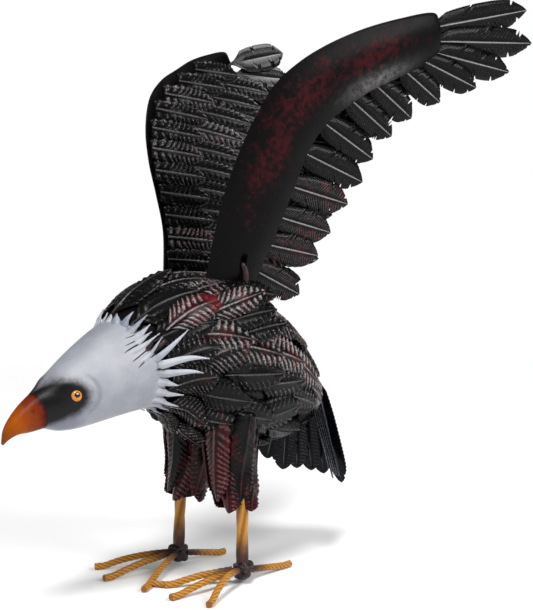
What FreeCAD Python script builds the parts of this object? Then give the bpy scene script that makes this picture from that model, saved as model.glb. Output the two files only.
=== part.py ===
import FreeCAD, Part
import math
import os

# Sizes in millimetres. The statue stands on the floor (height 0) and faces -Y; its left is +X.
back_height = 262.0
wing_length = 380.0
ankle_spread = 41.6
toe_reach = 80.0
sheet = 0.9
rib = 0.5
shell_sheet = 1.2

# Body, head and beak rows, as shares of the back height:
# top Y, top Z, bottom Y, bottom Z, half width
body_row_shares = [
    (-0.397, 0.864, -0.260, 0.582, 0.148),
    (-0.302, 0.938, -0.170, 0.551, 0.176),
    (-0.170, 0.984, -0.104, 0.490, 0.196),
    (0.000, 0.976, 0.000, 0.444, 0.204),
    (0.148, 0.922, 0.140, 0.428, 0.188),
    (0.277, 0.840, 0.270, 0.436, 0.154),
    (0.380, 0.734, 0.376, 0.460, 0.110),
    (0.444, 0.642, 0.440, 0.502, 0.064)]
head_row_shares = [
    (-0.687, 0.659, -0.655, 0.553, 0.050),
    (-0.655, 0.684, -0.607, 0.541, 0.073),
    (-0.606, 0.728, -0.557, 0.540, 0.089),
    (-0.556, 0.767, -0.504, 0.546, 0.103),
    (-0.504, 0.802, -0.439, 0.557, 0.119),
    (-0.451, 0.835, -0.353, 0.571, 0.135),
    (-0.397, 0.864, -0.260, 0.582, 0.148)]
beak_row_shares = [
    (-0.687, 0.659, -0.655, 0.553, 0.050),
    (-0.729, 0.627, -0.699, 0.546, 0.040),
    (-0.763, 0.592, -0.739, 0.543, 0.028),
    (-0.784, 0.560, -0.769, 0.532, 0.016),
    (-0.792, 0.525, -0.787, 0.518, 0.005)]

# Thigh rows, as shares of the back height: X, Y, Z, radius
thigh_row_shares = [
    (0.096, 0.006, 0.540, 0.088),
    (0.097, 0.006, 0.455, 0.074),
    (0.100, 0.006, 0.374, 0.057),
    (0.114, 0.005, 0.302, 0.045),
    (0.132, 0.004, 0.240, 0.034)]

# Wing plane: root corner as shares of the back height, leans as slopes
root_corner_shares = (0.107, -0.103, 1.008)
lean_out_share = 0.238
sweep_out_share = 0.274
crown = 8.0
crown_full_share = 0.15

# Wing plate, as shares of the wing length: leading edge and trailing edge stations
plate_edge_shares = [
    ((-0.001, -0.016), (0.124, -0.014)),
    ((0.004, 0.091), (0.150, 0.076)),
    ((0.014, 0.180), (0.168, 0.145)),
    ((0.030, 0.255), (0.187, 0.222)),
    ((0.055, 0.335), (0.205, 0.292)),
    ((0.090, 0.413), (0.239, 0.350)),
    ((0.143, 0.471), (0.280, 0.390)),
    ((0.209, 0.519), (0.340, 0.436)),
    ((0.287, 0.563), (0.410, 0.476)),
    ((0.381, 0.601), (0.468, 0.514)),
    ((0.467, 0.626), (0.499, 0.541)),
    ((0.489, 0.600), (0.500, 0.566))]

# The right wing is bent a little by hand: sway of its front edge, back below and forward
# above, then the droop and the draw inwards of its outer part
right_sway_shares = (0.022, -0.037)
sway_turn_shares = (0.20, 0.55)
sway_fade_shares = (0.15, 0.10)
right_droop_share = 0.016
right_draw_share = 0.026
droop_start_share = 0.12
droop_length_share = 0.28

# Flight feathers from the wing tip to the root: where the quill leaves the plate,
# where the tip lies, width, all as shares of the wing length, and the layer it lies in
flight_shares = [
    ((0.486, 0.595), (0.752, 0.676), 0.074, 4.2),
    ((0.499, 0.566), (0.786, 0.603), 0.073, 3.3),
    ((0.499, 0.541), (0.732, 0.527), 0.070, 2.4),
    ((0.473, 0.518), (0.641, 0.478), 0.068, 1.5),
    ((0.432, 0.486), (0.542, 0.432), 0.066, 1),
    ((0.358, 0.445), (0.470, 0.386), 0.070, 1),
    ((0.297, 0.406), (0.424, 0.339), 0.070, 1),
    ((0.239, 0.347), (0.384, 0.282), 0.072, 1),
    ((0.200, 0.277), (0.367, 0.227), 0.074, 1),
    ((0.179, 0.201), (0.338, 0.173), 0.072, 1),
    ((0.162, 0.130), (0.305, 0.104), 0.070, 1),
    ((0.144, 0.066), (0.282, 0.048), 0.070, 1),
    ((0.126, 0.004), (0.250, -0.045), 0.069, 1)]
flight_root = 14.0
flight_tilt = 4.0
flight_drop = 3.4
layer_step = 1.15

# Covert feathers of the wing's inner face: plate station of the root, length as a share of
# the wing length, turn in degrees; the rear ones lie half a pitch lower, under the front ones,
# with shares of start, drop and length
front_coverts = [(0.44, 0.132, -3.5), (0.89, 0.150, -3.5), (1.44, 0.150, -3.5), (2.08, 0.152, -3.5),
                 (2.78, 0.156, -3.5), (3.46, 0.160, -3.5), (4.12, 0.164, -3.5), (4.80, 0.168, -3.5),
                 (5.60, 0.166, -2.0), (6.57, 0.160, 0.0), (7.70, 0.150, 1.0)]
covert_root_share = 0.13
rear_covert_shares = (0.50, 0.026, 1.30)
covert_width = 18.8
front_covert_heights = (-1.1, 6.0, 12.4)
rear_covert_heights = (3.9, 9.8, 13.8)
covert_tilt = 1.6

# Leaf outline of a feather: share of the length, share of the width
leaf_shares = [(0.0, 0.36), (0.30, 0.92), (0.64, 1.0), (1.0, 0.10)]
tail_shares = [(0.0, 0.36), (0.30, 0.92), (0.78, 1.0), (1.0, 0.16)]
covert_shares = [(0.0, 0.80), (0.30, 1.0), (0.74, 0.96), (1.0, 0.10)]
vane_shares = [(0.0, 0.30), (0.18, 0.68), (0.40, 0.94), (0.62, 1.0), (0.80, 0.93),
               (0.90, 0.64), (1.0, 0.04)]
notch_shares = [(0.56, 1), (0.80, 1), (0.70, -1)]
notch_depth = 3.4
notch_width = 1.6
quill_width = 2.2
quill_height = 0.7
quill_end_share = 0.88
quill_tip_share = 0.35

# Feather coat of the body: rows from the neck to the rump
coat_first_row = 0.16
coat_row_pitch = 0.86
coat_rows = 8
coat_width = 29.0
coat_gap = 1.5
coat_rise = 2.8
coat_base = 0.4
feather_reach = 1.78
coat_end_row = 0.55
back_angle = 40
belly_angle = 140
scrap_share = 0.11

# Thigh feathers
thigh_rows = 3
thigh_first_row = 0.35
thigh_row_pitch = 1.05
thigh_end_row = 0.90
thigh_room_share = 2.5
thigh_counts = (7, 6, 5)

# White fringe round the neck: angle in degrees, reach and width as shares of the back height
fringe_shares = [
    (0, 0.10, 0.038), (17, 0.08, 0.036), (33, 0.11, 0.036), (50, 0.12, 0.036),
    (67, 0.15, 0.038), (84, 0.23, 0.036), (101, 0.26, 0.040), (117, 0.24, 0.036),
    (132, 0.17, 0.036), (148, 0.15, 0.036), (165, 0.11, 0.036)]
fringe_sheet = 0.8
fringe_start = -0.42
fringe_lift = 1.9
fringe_rise = 2.9
fringe_middle_share = 0.66
fringe_tip_share = 0.06

# Tail: ridge root and tip, and for each feather from the ridge to the edge the steps
# sideways and downwards of root and tip, as shares of the back height
tail_ridge_shares = ((0.508, 0.635), (0.662, 0.202))
tail_side_share = 0.690
tail_feather_shares = [((0.0, 0.0), (0.0, 0.448)), ((0.026, 0.010), (0.056, 0.408)),
                       ((0.052, 0.022), (0.098, 0.392)), ((0.078, 0.036), (0.150, 0.380)),
                       ((0.104, 0.050), (0.202, 0.382)), ((0.130, 0.064), (0.250, 0.334))]
tail_width = 25.0
tail_ridge_drop = 0.5
tail_gap = 0.25

# Legs and feet: toe ends from the ankle as shares of the toe reach (inner toe first, then
# middle, outer and rear), and the rise of a toe along its length
shank_radius = 5.1
shank_foot = 6.0
shank_bend_shares = ((0.245, 1.0), (0.480, 0.72), (0.600, 0.70))
right_knee_share = 0.92
shank_twist = 20.0
shank_groove_share = 0.16
toe_radius = 3.1
toe_start = 9.0
ankle_height = 12.5
left_toe_shares = [(-0.404, -0.733), (-0.011, -0.976), (0.438, -0.869), (-0.079, 0.803)]
right_toe_shares = [(-0.612, -0.985), (0.005, -1.024), (0.459, -0.811), (-0.050, 0.659)]
inner_rise_shares = [(0.0, 0.90), (0.22, 0.76), (0.45, 0.60), (0.68, 0.30), (0.86, 0.03),
                     (0.94, 0.0), (1.0, 0.0)]
left_outer_rise_shares = [(0.0, 1.0), (0.22, 1.18), (0.45, 1.12), (0.68, 0.74), (0.86, 0.17),
                          (0.94, 0.0), (1.0, 0.0)]
right_outer_rise_shares = [(0.0, 0.90), (0.22, 0.84), (0.45, 0.68), (0.68, 0.38), (0.86, 0.03),
                           (0.94, 0.0), (1.0, 0.0)]
rear_rise_shares = [(0.0, 0.64), (0.30, 0.42), (0.60, 0.18), (0.84, 0.0), (0.92, 0.0), (1.0, 0.0)]
ankle_bead = 12.0
bead_height = 14.0
bead_shares = [(0.0, 0.62), (0.25, 0.95), (0.55, 1.0), (0.8, 0.72), (1.0, 0.46)]
tie_radius = 2.6

# Eyes
eye_radius = 4.9
eye_place_shares = (0.078, -0.573, 0.649)

# Wing hook and its sockets in the shoulder
hook_radius = 2.6
hook_share = 0.074
hook_rise_share = 0.020
hook_leg_out = 6.5
hook_leg_in = 10.5
hook_depth = 15.0
hook_shoulder_share = 0.33
hook_bend_share = 2.4
hook_corner_share = 0.6
slot_rise_share = 3.0
socket_rise = 3.0
socket_wall = 1.6
socket_floor = 2.0
running_gap = 0.06
rest_gap = 0.05
clear_gap = 0.6


def vec(x, y, z):
    return FreeCAD.Vector(x, y, z)


def scaled(rows, size):
    return [tuple(size * value for value in row) for row in rows]


def read_rows(rows, place):
    """Smooth reading of a table of rows at a place counted in rows."""
    last = len(rows) - 1
    index = min(max(int(math.floor(place)), 0), last - 1)
    part = place - index
    before = rows[max(index - 1, 0)]
    start = rows[index]
    end = rows[index + 1]
    after = rows[min(index + 2, last)]
    if part < 0 or part > 1:
        return [a + (b - a) * part for a, b in zip(start, end)]
    result = []
    for a, b, c, d in zip(before, start, end, after):
        result.append(b + (c - a) * part / 2 + (2 * a - 5 * b + 4 * c - d) * part ** 2 / 2
                      + (3 * b - a - 3 * c + d) * part ** 3 / 2)
    return result


body_rows = scaled(body_row_shares, back_height)
head_rows = scaled(head_row_shares, back_height)
beak_rows = scaled(beak_row_shares, back_height)
thigh_sizes = scaled(thigh_row_shares, back_height)


def ring_point(row, angle):
    top_y, top_z, low_y, low_z, half = row
    side = math.cos(angle)
    return vec(half * math.sin(angle), (top_y + low_y) / 2 + (top_y - low_y) / 2 * side,
               (top_z + low_z) / 2 + (top_z - low_z) / 2 * side)


def body_surface(place, angle):
    return ring_point(read_rows(body_rows, place), angle)


def thigh_surface(side):
    def surface(place, angle):
        x, y, z, radius = read_rows(thigh_sizes, place)
        return vec(side * x + radius * math.cos(angle), y - radius * math.sin(angle), z)
    return surface


def beside(surface, place, angle, across, height):
    """Point over a surface, beside and above a middle point, in the plane of that section."""
    step = 0.01
    along = surface(place + step, angle) - surface(place - step, angle)
    around = surface(place, angle + step) - surface(place, angle - step)
    normal = around.cross(along).normalize()
    turn = across * 2 * step / around.Length
    level = around.normalize()
    middle = surface(place, angle)
    side = surface(place, angle + turn) - middle
    return middle + level * side.dot(level) + normal * (height + side.dot(normal))


def feather(at, length, width, lift, outline=leaf_shares):
    """Pressed leaf of sheet with a raised quill, laid through at(along, across, height)."""
    wires = []
    for along_share, width_share in outline:
        half = width * width_share / 2
        along = length * along_share
        height = lift(along_share)
        low = [at(along, across, height) for across in (-half, 0, half)]
        high = [at(along, half, height + sheet), at(along, 0, height + sheet + rib),
                at(along, -half, height + sheet)]
        wires.append(Part.makePolygon(low + high + [low[0]]))
    return Part.makeLoft(wires, True, True)


def coat_feather(surface, place, angle, reach, width):
    def at(along, across, height):
        return beside(surface, place + along, angle, across, height)
    return feather(at, reach, width, lambda share: coat_base + coat_rise * share * reach)


def ring_loft(rows, inset, first, last, steps=1):
    """Smooth solid through the rows, drawn inwards by the inset."""
    wires = []
    for step in range(steps * first, steps * last + 1):
        top_y, top_z, low_y, low_z, half = read_rows(rows, step / steps)
        span = math.hypot(top_y - low_y, top_z - low_z)
        keep = (span - 2 * inset) / span
        mid_y, mid_z = (top_y + low_y) / 2, (top_z + low_z) / 2
        row = (mid_y + (top_y - mid_y) * keep, mid_z + (top_z - mid_z) * keep,
               mid_y + (low_y - mid_y) * keep, mid_z + (low_z - mid_z) * keep, half - inset)
        points = [ring_point(row, 2 * math.pi * n / 12) for n in range(12)]
        curve = Part.BSplineCurve()
        curve.interpolate(Points=points, PeriodicFlag=True)
        wires.append(Part.Wire(curve.toShape()))
    return Part.makeLoft(wires, True, False)


def half_space(side):
    box = Part.makeBox(back_height, 3 * back_height, 2 * back_height)
    start = 0 if side > 0 else -back_height
    box.translate(vec(start, -back_height, 0))
    return box


def bar(points, radius, corners=8, turn=0.0, lobes=0.0):
    """Rod of the given corners through the points; lobes hollow every second corner."""
    wires = []
    for index, point in enumerate(points):
        before = points[max(index - 1, 0)]
        after = points[min(index + 1, len(points) - 1)]
        axis = (after - before).normalize()
        guide = vec(1, 0, 0) if abs(axis.z) > abs(axis.x) + abs(axis.y) else vec(0, 0, 1)
        side = axis.cross(guide).normalize()
        up = side.cross(axis)
        ring = []
        for corner in range(corners):
            angle = 2 * math.pi * (corner + 0.5) / corners + turn * index
            size = radius * (1 - lobes * (corner % 2)) / math.cos(math.pi / corners)
            ring.append(point + side * size * math.cos(angle) + up * size * math.sin(angle))
        wires.append(Part.makePolygon(ring + [ring[0]]))
    return Part.makeLoft(wires, True, True)


def wing_frame(side):
    up = vec(side * lean_out_share, 0, 1).normalize()
    out = vec(side, -sweep_out_share, -lean_out_share).normalize()
    back = up.cross(out)
    if back.y < 0:
        back = back * -1
    x, y, z = (share * back_height for share in root_corner_shares)
    return vec(side * x, y, z), back, up, out


def wing_point(side, along, rise, offset):
    corner, back, up, out = wing_frame(side)
    return corner + back * along + up * rise + out * offset


def hand_bend(side, spot_share):
    """Place in the wing plane; the right wing sways and droops a little."""
    along, rise = spot_share
    if side < 0:
        turn, end = sway_turn_shares
        low, high = [min(max(share, 0), 1) for share in (rise / turn, (rise - turn) / (end - turn))]
        sway = (right_sway_shares[0] * math.sin(math.pi * low)
                + right_sway_shares[1] * math.sin(math.pi * high))
        fade = 1 - min(max((along - sway_fade_shares[0]) / sway_fade_shares[1], 0), 1)
        droop = min(max((along - droop_start_share) / droop_length_share, 0), 1)
        along, rise = along + sway * fade - right_draw_share * droop, rise - right_droop_share * droop
    return (wing_length * along, wing_length * rise)


def plate_stations(side):
    return [hand_bend(side, lead) + hand_bend(side, trail) for lead, trail in plate_edge_shares]


def wing_plate(side):
    wires = []
    for lead_p, lead_q, trail_p, trail_q in plate_stations(side):
        width = math.hypot(trail_p - lead_p, trail_q - lead_q)
        full = min(1.0, width / (wing_length * crown_full_share))
        outer, inner = [], []
        for step in range(5):
            share = step / 4
            along = lead_p + (trail_p - lead_p) * share
            rise = lead_q + (trail_q - lead_q) * share
            height = crown * full * 4 * share * (1 - share)
            outer.append(wing_point(side, along, rise, height))
            inner.append(wing_point(side, along, rise, height - shell_sheet))
        ring = outer + inner[::-1]
        wires.append(Part.makePolygon(ring + [ring[0]]))
    return Part.makeLoft(wires, True, True)


def hook_slot(side):
    """Upright rounded cutter for the slot that the wing's hook passes through."""
    corner, back, up, out = wing_frame(side)
    radius = hook_radius / math.cos(math.pi / 8) + clear_gap / 2
    start = wing_point(side, wing_length * hook_share, wing_length * hook_rise_share, -2 * crown)
    rise = up * slot_rise_share * hook_radius
    deep = out * 5 * crown
    corners = [start - back * radius, start + back * radius,
               start + back * radius + rise, start - back * radius + rise]
    block = Part.Face(Part.makePolygon(corners + [corners[0]])).extrude(deep)
    low = Part.makeCylinder(radius, 5 * crown, start, out)
    high = Part.makeCylinder(radius, 5 * crown, start + rise, out)
    return low.fuse([block, high])


def hook_crossing(side):
    return wing_point(side, wing_length * hook_share, wing_length * hook_rise_share, crown / 2)


def shoulder_height(x):
    """Height of the body shell over a point beside the hook."""
    top_y, top_z, low_y, low_z, half = body_rows[3]
    return (top_z + low_z) / 2 + (top_z - low_z) / 2 * math.sqrt(1 - (x / half) ** 2)


def hook_feet(side):
    crossing = hook_crossing(side)
    feet = []
    for leg in (hook_leg_out, -hook_leg_in):
        x = crossing.x + side * leg
        feet.append(vec(x, crossing.y, shoulder_height(x) - hook_depth))
    return feet


def hook(side, room=0.0):
    crossing = hook_crossing(side)
    outer, inner = hook_feet(side)
    bend = crossing.z - hook_bend_share * hook_radius
    shoulder = crossing.z - hook_shoulder_share * hook_radius
    corners = [vec(crossing.x + (foot.x - crossing.x) * hook_corner_share, foot.y, shoulder)
               for foot in (outer, inner)]
    points = [outer, vec(outer.x, outer.y, bend), corners[0], crossing, corners[1],
              vec(inner.x, inner.y, bend), inner]
    return bar(points, hook_radius + room)


def socket_block(foot, rise, grow=0.0):
    radius = hook_radius + running_gap + socket_wall + grow
    low = foot - vec(0, 0, rest_gap + socket_floor)
    return bar([low, foot + vec(0, 0, hook_depth + rise)], radius)


def socket(foot):
    low = foot - vec(0, 0, rest_gap)
    bore = bar([low, foot + vec(0, 0, 2 * hook_depth)], hook_radius + running_gap)
    return socket_block(foot, socket_rise).cut(bore)


def flight_feather(side, start_share, tip_share, width_share, layer):
    start = hand_bend(side, start_share)
    tip = hand_bend(side, tip_share)
    reach = math.hypot(tip[0] - start[0], tip[1] - start[1])
    ahead = ((tip[0] - start[0]) / reach, (tip[1] - start[1]) / reach)
    length = reach + flight_root
    half = wing_length * width_share / 2
    tilt = math.radians(flight_tilt)
    drop = flight_drop + layer_step * (layer - 1)

    def at(along, across, height):
        spot = along - flight_root
        flat = across * math.cos(tilt) - height * math.sin(tilt)
        rise = across * math.sin(tilt) + height * math.cos(tilt)
        return wing_point(side, start[0] + ahead[0] * spot - ahead[1] * flat,
                          start[1] + ahead[1] * spot + ahead[0] * flat, rise - drop)

    edge = [(length * x, half * w) for x, w in vane_shares]
    outline = edge + [(x, -y) for x, y in edge[::-1]]
    points = [at(x, y, 0) for x, y in outline]
    normal = at(0, 0, sheet) - at(0, 0, 0)
    blade = Part.Face(Part.makePolygon(points + [points[0]])).extrude(normal)
    cutters = []
    for along_share, edge_side in notch_shares:
        along = length * along_share
        deep = half - notch_depth
        corners = [at(along - notch_depth, edge_side * deep, -sheet),
                   at(along, edge_side * 2 * half, -sheet),
                   at(along + 2 * notch_width, edge_side * 2 * half, -sheet)]
        cutters.append(Part.Face(Part.makePolygon(corners + [corners[0]])).extrude(normal * 3))
    blade = blade.cut(cutters)
    ridge = []
    for share, size in ((0.0, 1.0), (quill_end_share, quill_tip_share)):
        w = quill_width * size / 2
        ring = [at(length * share, -w, sheet), at(length * share, w, sheet),
                at(length * share, 0, sheet + quill_height * size)]
        ridge.append(Part.makePolygon(ring + [ring[0]]))
    return blade.fuse(Part.makeLoft(ridge, True, True)).removeSplitter()


def plate_spot(side, place, share):
    """Point of the plate in the wing plane, at a station place and a share of its width."""
    lead_p, lead_q, trail_p, trail_q = read_rows(plate_stations(side), place)
    return lead_p + (trail_p - lead_p) * share, lead_q + (trail_q - lead_q) * share


def covert(side, start, length, turn, heights):
    ahead = (math.cos(math.radians(turn)), math.sin(math.radians(turn)))
    slope = math.tan(math.radians(covert_tilt))

    def at(along, across, height):
        return wing_point(side, start[0] + ahead[0] * along - ahead[1] * across,
                          start[1] + ahead[1] * along + ahead[0] * across,
                          -height - slope * across)

    def lift(share):
        if share < 0.5:
            return heights[0] + (heights[1] - heights[0]) * share * 2
        return heights[1] + (heights[2] - heights[1]) * (share - 0.5) * 2
    return feather(at, length, covert_width, lift, covert_shares)


def wing_coverts(side, plate):
    front, rear = [], []
    room = hook(side, clear_gap / 2)
    start_share, lower_share, length_share = rear_covert_shares
    for place, reach_share, turn in front_coverts:
        start = plate_spot(side, place, covert_root_share)
        length = wing_length * reach_share
        leaf = covert(side, start, length, turn, front_covert_heights)
        front.append(largest(leaf.cut([room, plate])))
        along = length * start_share
        lower = wing_length * lower_share
        angle = math.radians(turn)
        spot = (start[0] + along * math.cos(angle) + lower * math.sin(angle),
                start[1] + along * math.sin(angle) - lower * math.cos(angle))
        rear.append(covert(side, spot, length * length_share, turn, rear_covert_heights))
    return front, rear


def wing_root_keep_out(side):
    points = [wing_point(side, along, rise, -2 * clear_gap - crown / 2)
              for along, rise in ((-0.012, -0.024), (0.136, -0.024), (0.136, 0.2), (-0.012, 0.2))
              for along, rise in ((along * wing_length, rise * wing_length),)]
    face = Part.Face(Part.makePolygon(points + [points[0]]))
    return face.extrude(wing_frame(side)[3] * (2 * crown))


def tail_feather(side, index, body):
    """Feather of the roof-shaped tail; side 0 is the one along the ridge."""
    root, tip = [vec(0, y, z) * back_height for y, z in tail_ridge_shares]
    down = (tip - root).normalize()
    across = vec(side * tail_side_share, -math.sqrt(1 - tail_side_share ** 2), 0)
    if side == 0:
        across = vec(1, 0, 0)
    out = across.cross(down).normalize()
    if out.y < 0:
        out = out * -1
    ends = [root + across * step * back_height + down * fall * back_height
            for step, fall in tail_feather_shares[index]]
    ahead = (ends[1] - ends[0]).normalize()
    level = out.cross(ahead)
    depth = (sheet + rib + tail_gap) * index + (0 if index else tail_ridge_drop)

    def at(along, aside, height):
        return ends[0] + ahead * along + level * aside + out * (height - depth)
    leaf = feather(at, (ends[1] - ends[0]).Length, tail_width, lambda share: 0, tail_shares)
    if side:
        leaf = leaf.common(half_space(side))
    return largest(leaf.cut(body))


def ring_length(place):
    points = [body_surface(place, 2 * math.pi * n / 24) for n in range(25)]
    return sum((b - a).Length for a, b in zip(points, points[1:]))


def coat_row(row):
    """Place, reach, feather width and angles of a row, staggered from row to row."""
    place = coat_first_row + coat_row_pitch * row
    reach = min(feather_reach, len(body_rows) - coat_end_row - place)
    widest = place + reach * leaf_shares[2][0]
    count = max(int(ring_length(widest) / coat_width), 5)
    width = min(ring_length(place + reach * share) / size for share, size in leaf_shares[1:3])
    steps = 240
    lengths = [0.0]
    for step in range(steps):
        a = body_surface(widest, 2 * math.pi * step / steps)
        b = body_surface(widest, 2 * math.pi * (step + 1) / steps)
        lengths.append(lengths[-1] + (b - a).Length)
    angles = []
    for index in range(count):
        goal = lengths[-1] * (index + 0.5 * (row % 2)) / count
        spot = max(n for n in range(steps + 1) if lengths[n] <= goal)
        angles.append(2 * math.pi * spot / steps)
    return place, reach, width / count - coat_gap, angles


def body_coat(keep_outs):
    pieces = {"coat_back": [], "coat_left": [], "coat_right": [], "coat_belly": []}
    before = []
    for row in range(coat_rows):
        place, reach, width, angles = coat_row(row)
        laid = []
        for angle in angles:
            piece = coat_feather(body_surface, place, angle, reach, width)
            for block in keep_outs + before:
                if piece.BoundBox.intersect(block.BoundBox):
                    piece = piece.cut(block)
            kept = kept_solids(piece)
            laid += kept
            pieces[coat_side(math.degrees(angle))] += kept
        before = laid
    return pieces


def coat_side(degrees):
    from_top = min(degrees % 360, -degrees % 360)
    if from_top < back_angle:
        return "coat_back"
    if from_top > belly_angle:
        return "coat_belly"
    return "coat_left" if degrees % 360 < 180 else "coat_right"


def kept_solids(piece):
    """Solids of a cut feather that are more than scraps."""
    least = scrap_share * sheet * coat_width ** 2
    return [solid for solid in piece.Solids if solid.Volume > least]


def thigh_coat(side, keep_out):
    surface = thigh_surface(side)
    solids = []
    for row in range(thigh_rows):
        place = thigh_first_row + thigh_row_pitch * row
        reach = min(feather_reach, len(thigh_sizes) - thigh_end_row - place)
        count = thigh_counts[row]
        radius = read_rows(thigh_sizes, place + leaf_shares[2][0])[3]
        width = 2 * math.pi * (radius + rib) / count - coat_gap
        for index in range(count):
            angle = 2 * math.pi * (index + 0.5 * (row % 2)) / count
            piece = coat_feather(surface, place, angle, reach, width)
            solids += kept_solids(piece.cut(keep_out))
    return solids


def fringe():
    """White sheet collar cut into pointed strips that stand off the coat."""
    strips = []
    for angle, reach, width in fringe_shares:
        for side in ((1,) if angle == 0 else (1, -1)):
            turn = math.radians(angle) * side
            strips.append(fringe_strip(turn, reach * back_height, width * back_height))
    return strips


def collar_surface(place, angle):
    """Body surface, carried on over the head in front of the collar."""
    if place < 0:
        return ring_point(read_rows(head_rows, len(head_rows) - 1 + place), angle)
    return body_surface(place, angle)


def fringe_strip(turn, reach, width):
    rate = (body_surface(1, turn) - body_surface(0, turn)).Length
    end = reach / rate
    wires = []
    for place, size in ((fringe_start, 1.0), (coat_first_row, 1.0),
                        (coat_first_row + (end - coat_first_row) / 2, fringe_middle_share),
                        (end, fringe_tip_share)):
        half = width * size / 2
        height = coat_base + fringe_lift + fringe_rise * (place - coat_first_row)
        if place < coat_first_row:
            height = fringe_sheet / 4
        low = [beside(collar_surface, place, turn, across, height) for across in (-half, 0, half)]
        high = [beside(collar_surface, place, turn, across, height + fringe_sheet)
                for across in (half, 0, -half)]
        wires.append(Part.makePolygon(low + high + [low[0]]))
    return Part.makeLoft(wires, True, True)


def shank(side, room=0.0):
    """Twisted bar, upright above the foot and leaning inwards inside the thigh."""
    corners = [(ankle_spread, shank_foot)]
    for rise_share, spread_share in shank_bend_shares:
        lean = right_knee_share if side < 0 else 1
        corners.append((ankle_spread * spread_share * lean, back_height * rise_share))
    points = []
    for (xa, za), (xb, zb), steps in zip(corners, corners[1:], (7, 4, 2)):
        points += [vec(side * (xa + (xb - xa) * n / steps), 0, za + (zb - za) * n / steps)
                   for n in range(steps)]
    points.append(vec(side * corners[-1][0], 0, corners[-1][1]))
    if room:
        return bar(points, shank_radius + room)
    return bar(points, shank_radius, 8, side * math.radians(shank_twist), shank_groove_share)


def toe_points(side, end_share, rise_shares):
    end = vec(side * (ankle_spread + end_share[0] * toe_reach), end_share[1] * toe_reach, 0)
    start = vec(side * ankle_spread, 0, 0)
    start = start + (end - start).normalize() * toe_start
    points = []
    for share, rise in rise_shares:
        spot = start + (end - start) * share
        points.append(vec(spot.x, spot.y, toe_radius + (ankle_height - toe_radius) * rise))
    return points


def toes(side):
    """Four bent rods; the side toes are ground to the middle one at the ankle."""
    shares = left_toe_shares if side > 0 else right_toe_shares
    outer_rise = left_outer_rise_shares if side > 0 else right_outer_rise_shares
    rises = (inner_rise_shares, inner_rise_shares, outer_rise, rear_rise_shares)
    inner, middle, outer, rear = [bar(toe_points(side, share, rise), toe_radius)
                                  for share, rise in zip(shares, rises)]
    return [largest(inner.cut(middle)), middle, largest(outer.cut(middle)), rear]


def toe_tie(rods):
    """Short stub welded between the inner toes of the two feet."""
    left = toe_points(1, left_toe_shares[0], inner_rise_shares)[-2]
    path = toe_points(-1, right_toe_shares[0], inner_rise_shares)
    near = min(path, key=lambda point: (point - left).Length)
    line = (path[-1] - path[-2]).normalize()
    foot = near + line * (left - near).dot(line)
    foot = foot + vec(0, 0, toe_radius - foot.z)
    return largest(bar([left, foot], tie_radius, 6).cut(rods))


def ankle_weld(side, rods):
    rings = []
    for share, size in bead_shares:
        ring = [vec(side * ankle_spread + ankle_bead * size * math.cos(2 * math.pi * n / 10),
                    ankle_bead * size * math.sin(2 * math.pi * n / 10),
                    shank_foot / 2 + bead_height * share) for n in range(10)]
        rings.append(Part.makePolygon(ring + [ring[0]]))
    bead = Part.makeLoft(rings, True, True)
    for rod in rods:
        bead = bead.cut(rod)
    return largest(bead)


def eye(side, head):
    x, y, z = (share * back_height for share in eye_place_shares)
    ball = Part.makeSphere(eye_radius, vec(side * x, y, z))
    return ball.cut(head)


def largest(shape):
    return max(shape.Solids, key=lambda solid: solid.Volume)


def build_wing(side, word):
    plate = wing_plate(side).cut(hook_slot(side))
    nodes = {word + "_wing_plate": plate, word + "_wing_hook": hook(side)}
    for index, row in enumerate(flight_shares):
        nodes["%s_flight_%02d" % (word, index + 1)] = flight_feather(side, *row)
    front, rear = wing_coverts(side, plate)
    nodes[word + "_front_coverts"] = Part.makeCompound(front)
    nodes[word + "_rear_coverts"] = Part.makeCompound(rear)
    return nodes


def thigh_shell(side, body):
    outer_rings = []
    inner_rings = []
    for place, (x, y, z, radius) in enumerate(thigh_sizes):
        ring = [thigh_surface(side)(place, 2 * math.pi * n / 12) for n in range(12)]
        middle = vec(side * x, y, z)
        keep = 1 - shell_sheet / radius
        inner = [middle + (point - middle) * keep for point in ring]
        outer_rings.append(Part.makePolygon(ring + [ring[0]]))
        inner_rings.append(Part.makePolygon(inner + [inner[0]]))
    cone = Part.makeLoft(outer_rings, True, True).cut(Part.makeLoft(inner_rings, True, True))
    return largest(cone.cut(body).cut(shank(side, clear_gap / 2)))


def build_leg(side, word, body):
    rods = toes(side)
    leg_rod = largest(shank(side).cut(body))
    keep_out = body.fuse(shank(side, clear_gap / 2))
    return {word + "_thigh_shell": thigh_shell(side, body),
            word + "_thigh_feathers": Part.makeCompound(thigh_coat(side, keep_out)),
            word + "_shank": leg_rod,
            word + "_toes": Part.makeCompound(rods),
            word + "_ankle_weld": ankle_weld(side, rods + [leg_rod])}


def thigh_room(side):
    """Block that keeps the body's feathers off the thigh and its feathers."""
    rings = []
    for x, y, z, radius in thigh_sizes:
        grow = radius + thigh_room_share * coat_rise + clear_gap
        ring = [vec(side * x + grow * math.cos(2 * math.pi * n / 12),
                    y - grow * math.sin(2 * math.pi * n / 12), z) for n in range(12)]
        rings.append(Part.makePolygon(ring + [ring[0]]))
    return Part.makeLoft(rings, True, True)


def body_shells(body):
    last = len(body_rows) - 1
    hollow = ring_loft(body_rows, shell_sheet, 0, last - 1, 2)
    feet = [foot for side in (1, -1) for foot in hook_feet(side)]
    shell = body.cut(hollow).cut([socket_block(foot, hook_depth) for foot in feet])
    return {"body_shell_left": largest(shell.common(half_space(1))),
            "body_shell_right": largest(shell.common(half_space(-1)))}


def build_tail(body):
    tail = [tail_feather(0, 0, body)]
    for index in range(1, len(tail_feather_shares)):
        tail += [tail_feather(1, index, body), tail_feather(-1, index, body)]
    return tail


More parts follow.
